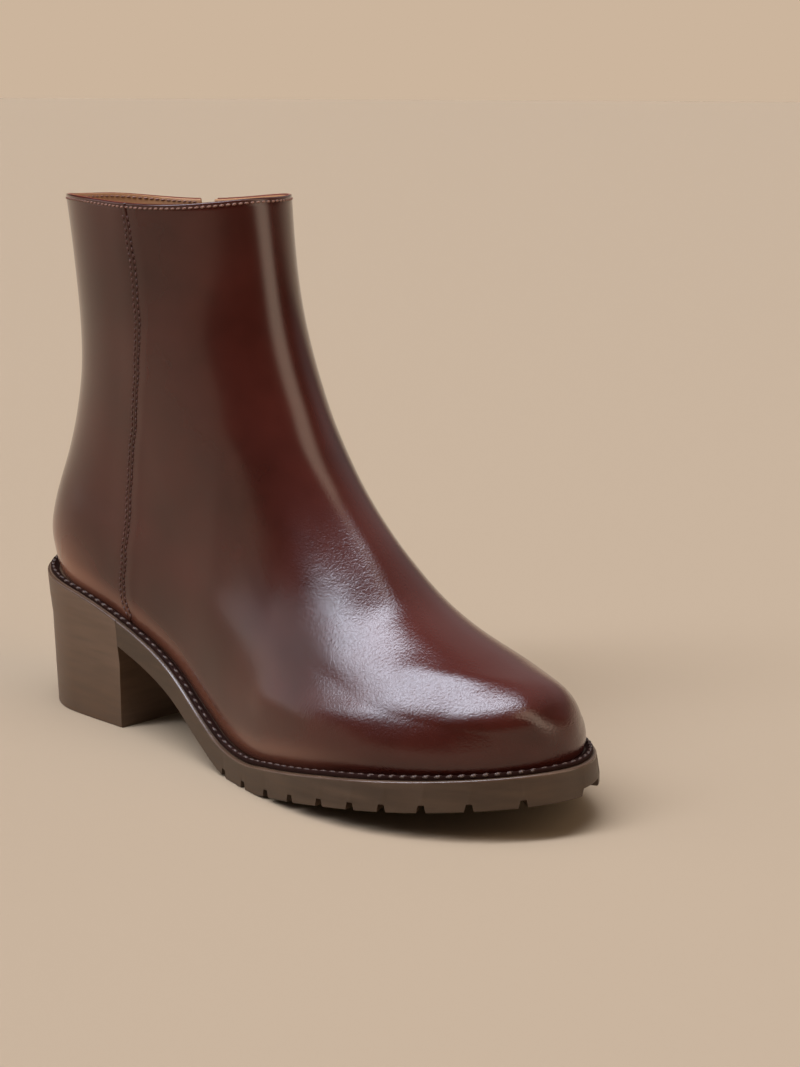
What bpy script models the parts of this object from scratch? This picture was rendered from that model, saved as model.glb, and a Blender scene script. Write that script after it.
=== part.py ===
"""Heeled ankle boot for the right foot, closed by a zip on its inner side.

The upper is one hollow leather wall, drawn as rings over a last from the feather edge
to the collar. A rubber forepart with edge lugs, a block heel, a stitched welt and an
insole board follow the same outline. The toe points to +X, the inner side of the foot
to +Y, and the boot stands on z = 0. Sizes are in millimetres until a mesh is made.
"""
import math
from collections import namedtuple

import bmesh
import bpy
import numpy as np
from mathutils import Matrix, Vector

MM = 0.001

# Driving dimensions
SOLE_LENGTH = 264.0
SOLE_EDGE = 10.7
SOLE_BEVEL = 1.0
SOLE_FLARE = 1.2
WALL = 2.2
GAP = 0.3
CLEARANCE = 0.4
SHARP_ANGLE = 35.0
DATUM_X = (SOLE_LENGTH + SOLE_FLARE) / 2
DATUM_Y = 0.1

# Heel block: its breast, and how far its sides draw in below the rim and at the floor
BREAST_X = 63.7
BREAST_RAKE = 0.4
HeelRow = namedtuple("HeelRow", "below_rim inset")
HEEL = [HeelRow(0, SOLE_BEVEL), HeelRow(SOLE_BEVEL, 0), HeelRow(9, 0.6), HeelRow(18, 1.6)]
HeelFootRow = namedtuple("HeelFootRow", "x inset")
HEEL_FOOT = [HeelFootRow(16, 2.9), HeelFootRow(48, 2.2)]

# Welt and insole
WELT_HEIGHT = 2.4
WELT_INSET = 0.7
WELT_RING = 0.03
INSOLE_HEIGHT = 2.6

# Margin between the sole's edge and the foot of the upper
MarginRow = namedtuple("MarginRow", "x margin")
MARGIN = [MarginRow(50, 3.5), MarginRow(120, 5.2)]

# Lugs along the edge of the forepart, measured along the edge from the toe tip
LUG_HEIGHT = 2.6
LUG_DEPTH = 13.0
LUG_DRAFT = 0.6
CHANNEL_WIDTH = 3.2
CHANNELS = (22.0, 40.0, 56.0, 70.0, 82.0, 95.5, 110.0, 124.0, 139.0, 153.5)
TOE_CUT_END = 13.0
TOE_STATIONS = (4.5, 9.0, 17.0)
SHANK_FROM = 168.0
SHANK_STATIONS = 8
FLARE_FROM = 150.0
FLARE_TO = 230.0
SHANK_TUCK = 0.4

# Zip on the inner side
ZIP_TOP_X = 49.0
ZIP_TOP_Z = 202.0
ZIP_LEAN = 0.22
ZIP_HALF = 4.5
ZIP_LOW_RING = 0.36
TAPE_DEPTH = 0.6
TAPE_THICK = 1.1
TAPE_RINGS = (0.364, 0.99)
TEETH_HALF = 2.4
TEETH_PROUD = 0.6
TEETH_THICK = 0.9
TEETH_RINGS = (0.368, 0.98)
ZIP_STEPS = 12
ZIP_RING_GAP = 0.01

# Slider and pull tab, measured from the hinge pin: along the zip, to each side and outwards
HINGE_RING = 0.965
HINGE_SPAN = 0.04
HINGE_STAND = 3.8
PIN_HALF = 0.6
PLATE_LOW = -4.0
PLATE_HIGH = -1.4
CHANNEL_HALF = 2.8
CHANNEL_TOP = -2.6
CUT_REACH = 12.0
CUT_HIGH = 2.0
HalfRow = namedtuple("HalfRow", "along half")
PLATE = [HalfRow(-9, 3.4), HalfRow(-3, 4.1), HalfRow(5.5, 4.1), HalfRow(7.5, 2.6)]
PULL = [
    HalfRow(PIN_HALF, 4.0),
    HalfRow(-9.5, 4.0),
    HalfRow(-11.5, 3.2),
    HalfRow(-24.5, 2.9),
    HalfRow(-26, 1.6),
]
PullCut = namedtuple("PullCut", "name start end half low")
PULL_CUTS = [
    PullCut("pull_eye", -8.0, -PIN_HALF, 2.8, -CUT_HIGH),
    PullCut("pull_slot", -24.4, -21.2, 0.9, -CUT_HIGH),
    PullCut("pull_recess", -19.8, -10.4, 1.6, 0.3),
]
HoodRow = namedtuple("HoodRow", "along outer inner_along inner half")
HOOD = [
    HoodRow(6.6, -1.7, 3.8, -1.7, 1.3),
    HoodRow(6.0, 0.4, 3.6, 0.0, 1.4),
    HoodRow(4.2, 1.8, 2.6, 1.0, 1.6),
    HoodRow(1.5, 2.3, 1.0, 1.25, 1.7),
    HoodRow(-2.5, 2.2, -2.2, 1.2, 1.7),
    HoodRow(-5.6, 1.2, -4.6, 0.5, 1.4),
    HoodRow(-7.0, -1.7, -5.6, -1.7, 1.3),
]

# Mesh density
LATERAL_COLUMNS = 32
REAR_COLUMNS = 14
FRONT_COLUMNS = 17
RINGS_BELOW_ZIP = 9
RINGS_BESIDE_ZIP = 16
LOOP_COLUMNS = 96
HEEL_COLUMNS = 24
RING_STEP = 0.004
ANGLE_STEP = 0.03
DENSE = 800

# Outline of the sole seen from above
PlanRow = namedtuple("PlanRow", "x centre half_width")
PLAN = [
    PlanRow(0, 0.5, 33.5),
    PlanRow(40, 0.5, 33.5),
    PlanRow(64, -0.5, 32),
    PlanRow(100, -3, 31),
    PlanRow(130, -4.5, 35),
    PlanRow(160, -3, 42.5),
    PlanRow(185, -1, 46),
    PlanRow(205, 1, 46),
    PlanRow(235, 4.5, 46),
    PlanRow(264, 8, 46),
]
HEEL_REACH = 34.0
HEEL_POWER = 2.2
TOE_REACH = 64.0
TOE_POWER = 1.8
UPPER_TOE_REACH = 60.0
UPPER_TOE_POWER = 2.0

# Height of the sole's top edge along the foot: heel, arch, ball and toe spring
RimRow = namedtuple("RimRow", "x height")
RIM = [
    RimRow(0, 57.5),
    RimRow(55, 47),
    RimRow(95, 32),
    RimRow(118, 18.5),
    RimRow(132, 12),
    RimRow(150, 10),
    RimRow(166, 12),
    RimRow(200, 17),
    RimRow(235, 21),
    RimRow(264, 24),
]

# Rings of the upper seen from the side, from the feather edge up to the collar
Ring = namedtuple("Ring", "back_x back_z front_x front_z")
RINGS = [
    Ring(4.5, 57.5, 258.5, 24),
    Ring(1.5, 66, 258, 33),
    Ring(0, 74, 255.5, 40.5),
    Ring(2, 84, 248, 49),
    Ring(5.5, 95, 229, 55.5),
    Ring(10.5, 108, 200, 68),
    Ring(15.5, 123, 179, 86.5),
    Ring(19.5, 141, 160, 106),
    Ring(20.5, 162, 142, 131),
    Ring(19, 185, 126.5, 166),
    Ring(16, 205, 118.5, 207.5),
]

# Dip of the collar between its back and front ends on each side, and how far it leans to the front
DIP_OUTER = 1.0
DIP_INNER = 1.8
LEAN_OUTER = 3.5
LEAN_INNER = -1.8
DIP_FROM = 0.7

# Ring fractions over which the foot's form gives way to the shaft's, and the swell of its sides
LIFT_TO = 0.75
LIFT_POWER = 1.6
OVAL_FROM = 0.4
OVAL_TO = 0.8
LEG_TO = 0.8
SWELL = 0.05
SWELL_SHARE = 0.5

# Half width of heel and shaft at the height of a ring's back
ShaftRow = namedtuple("ShaftRow", "z half_width")
SHAFT = [
    ShaftRow(57, 30),
    ShaftRow(75, 31),
    ShaftRow(100, 29),
    ShaftRow(125, 28.5),
    ShaftRow(150, 29.5),
    ShaftRow(180, 32),
    ShaftRow(208, 34),
]

# How square the foot's cross-section is along its length
CrossRow = namedtuple("CrossRow", "x power")
CROSS = [CrossRow(150, 2.0), CrossRow(200, 2.35), CrossRow(230, 2.25), CrossRow(264, 2.0)]
SHAFT_POWER = 2.05
BACK_POWER = 2.15

# How far the rounding of the back and of the front reaches into each ring
RoundRow = namedtuple("RoundRow", "ring back_reach front_reach")
ROUND = [RoundRow(0, 34, 130), RoundRow(0.3, 38, 120), RoundRow(0.6, 42, 90), RoundRow(1, 48, 50)]


# Curves

def column(rows, name):
    """One column of a table as an array."""
    return np.array([getattr(row, name) for row in rows], float)


def through(xs, ys, at):
    """Smooth curve through the points of a short table, flat beyond its ends."""
    step = np.diff(xs)
    slope = np.diff(ys) / step
    tangent = np.empty_like(ys)
    tangent[1:-1] = (slope[:-1] * step[1:] + slope[1:] * step[:-1]) / (step[1:] + step[:-1])
    tangent[0] = 1.5 * slope[0] - 0.5 * tangent[1]
    tangent[-1] = 1.5 * slope[-1] - 0.5 * tangent[-2]
    at = np.clip(at, xs[0], xs[-1])
    k = np.clip(np.searchsorted(xs, at) - 1, 0, len(xs) - 2)
    h = step[k]
    f = (at - xs[k]) / h
    rise = f * f * (3 - 2 * f)
    bend = (f ** 3 - 2 * f ** 2 + f) * h * tangent[k] + (f ** 3 - f ** 2) * h * tangent[k + 1]
    return ys[k] * (1 - rise) + ys[k + 1] * rise + bend


def quarter(u, power):
    """Quarter of a superellipse: 1 at u = 0, closing to 0 at u = 1."""
    return (1 - np.clip(u, 0, 1) ** power) ** (1 / power)


def ease(u):
    """Smooth step from 0 to 1."""
    u = np.clip(u, 0, 1)
    return u * u * (3 - 2 * u)


def centre_line(x):
    """Middle of the sole at x."""
    return through(column(PLAN, "x"), column(PLAN, "centre"), x)


def half_width(x):
    """Half width of the sole at x, before its ends are rounded."""
    return through(column(PLAN, "x"), column(PLAN, "half_width"), x)


def rim(x):
    """Height of the sole's top edge at x."""
    return through(column(RIM, "x"), column(RIM, "height"), x)


def sole_bottom(x):
    """Height of the sole's underside, flat where the ball meets the floor."""
    return np.maximum(rim(x) - SOLE_EDGE, 0.0)


def sole_half(x):
    """Half width of the sole with its heel and toe rounded."""
    heel = quarter(1 - x / HEEL_REACH, HEEL_POWER)
    toe = quarter(1 - (SOLE_LENGTH - x) / TOE_REACH, TOE_POWER)
    return half_width(x) * heel * toe


# Upper

def along_rings(t, name):
    """One column of the ring table at ring fraction t, 0 at the feather edge and 1 at the collar."""
    return through(np.linspace(0, 1, len(RINGS)), column(RINGS, name), t)


def ridge(x):
    """Height of the upper's front line above x."""
    t = np.linspace(0, 1, DENSE)
    front_x = along_rings(t, "front_x")
    first = int(np.argmax(front_x))
    return np.interp(x, front_x[first:][::-1], along_rings(t, "front_z")[first:][::-1])


def foot_half(x, tip):
    """Half width of the upper at its feather edge, inside the welt, rounded towards its tip."""
    margin = np.interp(x, column(MARGIN, "x"), column(MARGIN, "margin"))
    return (half_width(x) - margin) * quarter(1 - (tip - x) / UPPER_TOE_REACH, UPPER_TOE_POWER)


def upper_skin(t, theta):
    """Outer face of the upper. Theta is 0 at the front, runs back along the outer side to pi."""
    t, theta = np.broadcast_arrays(np.asarray(t, float), np.asarray(theta, float))
    s = 0.5 + 0.5 * np.cos(theta)
    side = np.where(np.sin(theta) >= 0, -1.0, 1.0)
    back_x, back_z, front_x, front_z = (along_rings(t, name) for name in Ring._fields)
    x = back_x + (front_x - back_x) * s

    # Height: each ring leaves the curved feather edge and straightens towards the collar
    first = RINGS[0]
    edge_x = first.back_x + (first.front_x - first.back_x) * s
    chord = rim(first.back_x) * (1 - s) + rim(first.front_x) * s
    lift = rim(edge_x) - chord
    z = back_z + (front_z - back_z) * s + (1 - np.clip(t / LIFT_TO, 0, 1)) ** LIFT_POWER * lift
    dip = np.where(side < 0, DIP_OUTER, DIP_INNER) * ease((t - DIP_FROM) / (1 - DIP_FROM))
    lean = np.where(side < 0, LEAN_OUTER, LEAN_INNER)
    z = z - dip * (1 + lean * np.cos(theta)) * np.sin(theta) ** 2

    # Width: a dome over the foot that turns into an oval round the shaft
    low = rim(np.clip(x, 0, SOLE_LENGTH)) + GAP
    share = np.clip((z - low) / np.maximum(ridge(x) - low, 1), 0, 1)
    reach = np.interp(t, column(ROUND, "ring"), column(ROUND, "front_reach"))
    shaft = ease((t - OVAL_FROM) / (OVAL_TO - OVAL_FROM))
    close = (1 - shaft) * share + shaft * np.clip(1 - (front_x - x) / reach, 0, 1)
    power = np.interp(x, column(CROSS, "x"), column(CROSS, "power"))
    front = quarter(close, power * (1 - shaft) + SHAFT_POWER * shaft)
    back_reach = np.interp(t, column(ROUND, "ring"), column(ROUND, "back_reach"))
    back = quarter(1 - (x - back_x) / back_reach, BACK_POWER)
    leg = ease(t / LEG_TO)
    swell = 1 + SWELL * np.sin(np.pi * np.clip(close / SWELL_SHARE, 0, 1))
    leg_half = through(column(SHAFT, "z"), column(SHAFT, "half_width"), back_z)
    tip = np.maximum(front_x, first.front_x)
    width = (1 - leg) * foot_half(x, tip) * swell + leg * leg_half
    y = (1 - leg) * centre_line(x) + side * width * front * back
    return np.stack([x, y, z], -1)


def upper_normal(t, theta):
    """Outward normal of the upper's face."""
    t, theta = np.broadcast_arrays(np.asarray(t, float), np.asarray(theta, float))
    low = np.clip(t - RING_STEP, 0, 1)
    high = np.clip(t + RING_STEP, 0, 1)
    rise = upper_skin(high, theta) - upper_skin(low, theta)
    turn = upper_skin(t, theta + ANGLE_STEP) - upper_skin(t, theta - ANGLE_STEP)
    normal = np.cross(rise, turn)
    return normal / np.linalg.norm(normal, axis=-1, keepdims=True)


def upper_layer(t, theta, depth):
    """The upper's face moved inwards by a depth."""
    return upper_skin(t, theta) - depth * upper_normal(t, theta)


def zip_angle(t, offset):
    """Angle of the zip's line on ring t, moved towards the toe by an offset."""
    t = np.asarray(t, float)
    back_x = along_rings(t, "back_x")
    length = along_rings(t, "front_x") - back_x
    s = np.full_like(t, 0.5)
    for _ in range(ZIP_STEPS):
        theta = 2 * np.pi - np.arccos(np.clip(2 * s - 1, -1, 1))
        height = upper_skin(t, theta)[..., 2]
        s = (ZIP_TOP_X + (ZIP_TOP_Z - height) * ZIP_LEAN + offset - back_x) / length
    return 2 * np.pi - np.arccos(np.clip(2 * s - 1, -1, 1))


def upper_rings():
    """Ring fractions of the upper's mesh, with one ring at the zip's lower end."""
    low = np.linspace(0, ZIP_LOW_RING, RINGS_BELOW_ZIP)
    return np.concatenate([low, np.linspace(ZIP_LOW_RING, 1, RINGS_BESIDE_ZIP)[1:]])


def upper_angles(t):
    """Angles of the upper's columns on ring t; two columns follow the edges of the zip."""
    rear = float(zip_angle(t, -ZIP_HALF))
    fore = float(zip_angle(t, ZIP_HALF))
    lateral = np.linspace(0, np.pi, LATERAL_COLUMNS, endpoint=False)
    return np.concatenate([
        lateral,
        np.linspace(np.pi, rear, REAR_COLUMNS, endpoint=False),
        [rear],
        np.linspace(fore, 2 * np.pi, FRONT_COLUMNS, endpoint=False),
    ])


# Meshes

def add_piece(name, vertices, faces, material, parent, place=None):
    """One closed mesh object. Vertices are in millimetres; place moves a piece that has its own origin."""
    mesh = bpy.data.meshes.new(name)
    points = np.asarray(vertices, float)
    if place is None:
        points = points - (DATUM_X, DATUM_Y, 0)
    mesh.from_pydata((points * MM).tolist(), [], faces)
    shape = bmesh.new()
    shape.from_mesh(mesh)
    bmesh.ops.recalc_face_normals(shape, faces=shape.faces)
    shape.to_mesh(mesh)
    shape.free()
    mesh.materials.append(material)
    mesh.shade_smooth()
    mesh.set_sharp_from_angle(angle=math.radians(SHARP_ANGLE))
    piece = bpy.data.objects.new(name, mesh)
    bpy.context.collection.objects.link(piece)
    piece.parent = parent
    if place is not None:
        piece.matrix_basis = place
    return piece


def make_material(name, colour, roughness, metallic=0.0):
    """Principled material in one colour."""
    material = bpy.data.materials.new(name)
    material.use_nodes = True
    shader = material.node_tree.nodes["Principled BSDF"]
    shader.inputs["Base Color"].default_value = (*colour, 1.0)
    shader.inputs["Roughness"].default_value = roughness
    shader.inputs["Metallic"].default_value = metallic
    return material


def strip(lower, upper, closed=True):
    """Quads between two rows of vertex numbers."""
    count = len(lower) if closed else len(lower) - 1
    return [
        (lower[k], lower[(k + 1) % len(lower)], upper[(k + 1) % len(upper)], upper[k])
        for k in range(count)
    ]


def lid(loop):
    """Faces across a loop that runs down one side of the foot, round its end and up the other."""
    count = len(loop)
    faces = []
    for k in range((count - 1) // 2):
        far = count - 1 - k
        if far - 1 == k + 1:
            faces.append((loop[k], loop[k + 1], loop[far]))
        else:
            faces.append((loop[k], loop[k + 1], loop[far - 1], loop[far]))
    return faces


def number(loops):
    """Stack loops of points and give each one its vertex numbers."""
    points = np.concatenate(loops)
    starts = np.cumsum([0] + [len(loop) for loop in loops[:-1]])
    return points, [list(range(start, start + len(loop))) for start, loop in zip(starts, loops)]


def with_height(path, height):
    """Plan points with a height each."""
    return np.column_stack([path, height])


def edge_normals(path):
    """Outward normals of a plan path round the toe or the heel, straight sideways at its two ends."""
    run = np.gradient(path, axis=0)
    normal = np.column_stack([-run[:, 1], run[:, 0]])
    if np.sum(normal * (path - path.mean(axis=0))) < 0:
        normal = -normal
    normal[[0, -1], 0] = 0
    return normal / np.linalg.norm(normal, axis=1, keepdims=True)


def side_path(start_x, end_x, side):
    """Dense edge of the sole on one side, from end_x back to start_x."""
    f = 1 - np.cos(np.linspace(0, np.pi / 2, DENSE))
    x = end_x + (start_x - end_x) * f
    return np.column_stack([x, centre_line(x) + side * sole_half(x)])


def run_length(path):
    """Distance of each point of a path from its start."""
    return np.concatenate([[0], np.cumsum(np.linalg.norm(np.diff(path, axis=0), axis=1))])


def walk(path, shares):
    """Points on a path at shares of its length."""
    length = run_length(path)
    at = np.asarray(shares) * length[-1]
    return np.column_stack([np.interp(at, length, path[:, k]) for k in range(2)])


# Pieces

def make_upper(material, parent):
    """Hollow upper: outer and inner faces joined at the feather edge, the collar and the zip slit."""
    rings = upper_rings()
    angles = np.array([upper_angles(t) for t in rings])
    outer = upper_skin(rings[:, None], angles)
    inner = upper_layer(rings[:, None], angles, WALL)
    rows, columns = angles.shape
    points = np.concatenate([outer.reshape(-1, 3), inner.reshape(-1, 3)])
    first_inner = rows * columns
    slit = LATERAL_COLUMNS + REAR_COLUMNS
    low_row = RINGS_BELOW_ZIP - 1

    def at(row, col, inside):
        return first_inner * inside + row * columns + col % columns

    faces = []
    for row in range(rows - 1):
        for col in range(columns):
            if col == slit and row >= low_row:
                continue
            for inside in (0, 1):
                faces.append((at(row, col, inside), at(row, col + 1, inside),
                              at(row + 1, col + 1, inside), at(row + 1, col, inside)))
    rims = [(0, col) for col in range(columns)]
    rims += [(rows - 1, col) for col in range(columns) if col != slit]
    rims += [(low_row, slit)]
    for row, col in rims:
        faces.append((at(row, col, 0), at(row, col + 1, 0), at(row, col + 1, 1), at(row, col, 1)))
    for row in range(low_row, rows - 1):
        for col in (slit, slit + 1):
            faces.append((at(row, col, 0), at(row + 1, col, 0), at(row + 1, col, 1), at(row, col, 1)))
    add_piece("upper", points, faces, material, parent)


def make_zip_strip(name, half, outer_depth, thick, ends, material, parent):
    """Strip along the zip, cut from the upper's own form between two depths and two end rings."""
    low, high = ends
    rings = upper_rings()
    between = rings[(rings > low + ZIP_RING_GAP) & (rings < high - ZIP_RING_GAP)]
    rings = np.concatenate([[low], between, [high]])
    across = np.array([-half, 0.0, half])
    angles = np.array([[float(zip_angle(t, offset)) for offset in across] for t in rings])
    layers = [upper_layer(rings[:, None], angles, depth) for depth in (outer_depth, outer_depth + thick)]
    loops = [np.concatenate([layers[0][row], layers[1][row][::-1]]) for row in range(len(rings))]
    points, numbers = number(loops)
    faces = [face for a, b in zip(numbers, numbers[1:]) for face in strip(a, b)]
    for end in (numbers[0], numbers[-1]):
        faces += [(end[0], end[1], end[4], end[5]), (end[1], end[2], end[3], end[4])]
    add_piece(name, points, faces, material, parent)


def make_outsole(material, parent):
    """Forepart and shank with a bevelled top edge and lugs cut along the lower edge."""
    edges = [side_path(BREAST_X + GAP, SOLE_LENGTH, side) for side in (-1, 1)]
    half_total = float(np.mean([run_length(edge)[-1] for edge in edges]))

    # Stations along the edge; bit 1 marks a cut on the outer side and bit 2 one on the inner side
    marks = {0.0: 0, LUG_DRAFT: 2, TOE_CUT_END: 2, TOE_CUT_END + LUG_DRAFT: 0}
    for channel, following in zip(CHANNELS, CHANNELS[1:] + (SHANK_FROM,)):
        near = channel - CHANNEL_WIDTH / 2
        far = channel + CHANNEL_WIDTH / 2
        marks.update({near: 0, near + LUG_DRAFT: 3, far - LUG_DRAFT: 3, far: 0})
        marks[(channel + following) / 2] = 0
    for station in TOE_STATIONS:
        marks[station] = 2 if station < TOE_CUT_END else 0
    for station in np.linspace(SHANK_FROM, half_total, SHANK_STATIONS):
        marks[float(station)] = 0
    distances = sorted(marks)
    shares = np.array(distances) / half_total
    sides = [walk(edge, shares) for edge in edges]
    path = np.concatenate([sides[0][::-1], sides[1][1:]])
    flags = [marks[d] & 1 for d in reversed(distances)] + [(marks[d] >> 1) & 1 for d in distances[1:]]
    cut = np.array(flags, float) * LUG_HEIGHT

    normal = edge_normals(path)
    x = path[:, 0]
    spread = ease((x - FLARE_FROM) / (FLARE_TO - FLARE_FROM))
    low_edge = path + normal * (SOLE_FLARE * spread - SHANK_TUCK * (1 - spread))[:, None]
    inner_end = path - normal * LUG_DEPTH
    rib = path - normal * (LUG_DEPTH + LUG_DRAFT)
    loops = [
        with_height(rib, sole_bottom(x)),
        with_height(inner_end, sole_bottom(x) + cut),
        with_height(low_edge, sole_bottom(x) + cut),
        with_height(path, rim(x) - SOLE_BEVEL),
        with_height(path - normal * SOLE_BEVEL, rim(x)),
    ]
    points, numbers = number(loops)
    faces = [face for a, b in zip(numbers, numbers[1:]) for face in strip(a, b, closed=False)]
    faces += lid(numbers[0]) + lid(numbers[-1])
    faces.append([loop[0] for loop in numbers] + [loop[-1] for loop in reversed(numbers)])
    add_piece("outsole", points, faces, material, parent)


def make_heel(material, parent):
    """Block heel that carries the seat; it narrows a little towards the floor."""
    sides = [walk(side_path(BREAST_X, 0.0, side), np.linspace(0, 1, HEEL_COLUMNS)) for side in (-1, 1)]
    path = np.concatenate([sides[0][::-1], sides[1][1:]])
    normal = edge_normals(path)
    x = path[:, 0]
    loops = [with_height(path - normal * row.inset, rim(x) - row.below_rim) for row in HEEL]
    foot = path - normal * np.interp(x, column(HEEL_FOOT, "x"), column(HEEL_FOOT, "inset"))[:, None]
    foot[[0, -1], 0] -= BREAST_RAKE
    loops.append(with_height(foot, np.zeros(len(x))))
    points, numbers = number(loops)
    faces = [face for a, b in zip(numbers, numbers[1:]) for face in strip(a, b, closed=False)]
    faces += lid(numbers[0]) + lid(numbers[-1])
    for a, b in zip(numbers, numbers[1:]):
        faces.append((a[0], b[0], b[-1], a[-1]))
    add_piece("heel", points, faces, material, parent)


def foot_loop(t, depth):
    """Plan points of the upper on ring t, moved inwards by a depth, with their outward normals."""
    theta = np.linspace(0, 2 * np.pi, LOOP_COLUMNS, endpoint=False)
    path = upper_skin(t, theta)[:, :2]
    run = np.roll(path, -1, axis=0) - np.roll(path, 1, axis=0)
    normal = np.column_stack([run[:, 1], -run[:, 0]])
    normal /= np.linalg.norm(normal, axis=1, keepdims=True)
    if np.sum(normal * (path - path.mean(axis=0))) < 0:
        normal = -normal
    return path - normal * depth, normal


def reach_edge(path, normal, inset):
    """Move plan points out along their normals to the sole's edge, less an inset."""
    edges = [side_path(SOLE_LENGTH / 2, end, side) for end in (0.0, SOLE_LENGTH) for side in (-1, 1)]
    edge = np.concatenate(edges)
    offset = edge[None] - path[:, None]
    along = np.einsum("ijk,ik->ij", offset, normal)
    across = np.abs(offset[..., 0] * normal[:, None, 1] - offset[..., 1] * normal[:, None, 0])
    across[along < 0] = np.inf
    nearest = across.argmin(axis=1)
    distance = along[np.arange(len(path)), nearest] - inset
    return path + normal * distance[:, None]


def ring_lid(loop):
    """Faces across a loop that starts at the front and runs all the way round."""
    half = len(loop) // 2
    faces = []
    for k in range(half):
        left = (loop[k], loop[k + 1])
        right = (loop[-k % len(loop)], loop[-(k + 1) % len(loop)])
        if k == 0:
            faces.append((left[0], left[1], right[1]))
        elif k == half - 1:
            faces.append((left[0], left[1], right[0]))
        else:
            faces.append((left[0], left[1], right[1], right[0]))
    return faces


def make_welt(material, parent):
    """Strip that lies on the sole's edge and hugs the foot of the upper."""
    inner, normal = foot_loop(WELT_RING, -CLEARANCE)
    outer = reach_edge(inner, normal, WELT_INSET)
    low = [with_height(loop, rim(loop[:, 0]) + GAP) for loop in (inner, outer)]
    high = [with_height(loop, rim(loop[:, 0]) + GAP + WELT_HEIGHT) for loop in (outer, inner)]
    points, numbers = number(low + high)
    faces = [face for a, b in zip(numbers, numbers[1:] + numbers[:1]) for face in strip(a, b)]
    add_piece("welt", points, faces, material, parent)


def make_insole(material, parent):
    """Board inside the upper, on top of the sole."""
    path, _ = foot_loop(0.0, WALL + CLEARANCE)
    base = rim(path[:, 0]) + CLEARANCE
    points, numbers = number([with_height(path, base), with_height(path, base + INSOLE_HEIGHT)])
    faces = strip(numbers[0], numbers[1]) + ring_lid(numbers[0]) + ring_lid(numbers[1])
    add_piece("insole", points, faces, material, parent)


def zip_frames():
    """Places of the slider, along the zip, and of the pull tab, which hangs plumb."""
    theta = float(zip_angle(HINGE_RING, 0.0))
    normal = upper_normal(HINGE_RING, theta)
    pin = upper_skin(HINGE_RING, theta) + normal * HINGE_STAND
    span = (HINGE_RING - HINGE_SPAN, HINGE_RING + HINGE_SPAN)
    ends = [upper_skin(t, float(zip_angle(t, 0.0))) for t in np.clip(span, 0, 1)]
    pin = Vector((pin - (DATUM_X, DATUM_Y, 0)) * MM)
    up = Vector(ends[1] - ends[0]).normalized()
    out = Vector(normal)
    out = (out - up * out.dot(up)).normalized()
    level = Vector((out.x, out.y, 0)).normalized()
    frames = []
    for up_axis, out_axis in ((up, out), (Vector((0, 0, 1)), level)):
        turn = Matrix((up_axis, up_axis.cross(out_axis), out_axis)).transposed()
        frames.append(Matrix.Translation(pin) @ turn.to_4x4())
    return frames


def prism(name, outline, low, high, material, parent, place):
    """Straight prism: an outline along and across the zip, from a low to a high level outwards."""
    loops = [with_height(np.array(outline, float), np.full(len(outline), level)) for level in (low, high)]
    points, numbers = number(loops)
    faces = strip(numbers[0], numbers[1]) + [numbers[0], numbers[1]]
    return add_piece(name, points, faces, material, parent, place)


def combine(piece, tool, operation):
    """Add or cut one piece with another, which stays as a hidden guide."""
    modifier = piece.modifiers.new(tool.name, "BOOLEAN")
    modifier.operation = operation
    modifier.solver = "EXACT"
    modifier.object = tool
    tool.hide_render = True
    tool.display_type = "WIRE"


def mirrored(rows):
    """Outline of a plate from its half widths, down one side and back up the other."""
    return [(row.along, row.half) for row in rows] + [(row.along, -row.half) for row in reversed(rows)]


def make_slider(material, parent, place):
    """Slider plate with flanges beside the teeth, and the hood that bridges the pull's pin."""
    slider = prism("zip_slider", mirrored(PLATE), PLATE_LOW, PLATE_HIGH, material, parent, place)
    channel = mirrored([HalfRow(-CUT_REACH, CHANNEL_HALF), HalfRow(CUT_REACH, CHANNEL_HALF)])
    cutter = prism("slider_channel", channel, -CUT_REACH, CHANNEL_TOP, material, parent, place)
    combine(slider, cutter, "DIFFERENCE")
    loops = []
    for row in HOOD:
        loops.append(np.array([
            (row.along, -row.half, row.outer),
            (row.along, row.half, row.outer),
            (row.inner_along, row.half, row.inner),
            (row.inner_along, -row.half, row.inner),
        ]))
    points, numbers = number(loops)
    faces = [face for a, b in zip(numbers, numbers[1:]) for face in strip(a, b)]
    faces += [numbers[0], numbers[-1]]
    hood = add_piece("slider_hood", points, faces, material, parent, place)
    combine(slider, hood, "UNION")


def make_pull(material, parent, place):
    """Pull tab: a pin under the hood, two arms beside it, and a flat tab with a recess and a slot."""
    pull = prism("zip_pull", mirrored(PULL), -PIN_HALF, PIN_HALF, material, parent, place)
    for cut in PULL_CUTS:
        box = mirrored([HalfRow(cut.start, cut.half), HalfRow(cut.end, cut.half)])
        combine(pull, prism(cut.name, box, cut.low, CUT_HIGH, material, parent, place), "DIFFERENCE")


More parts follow.
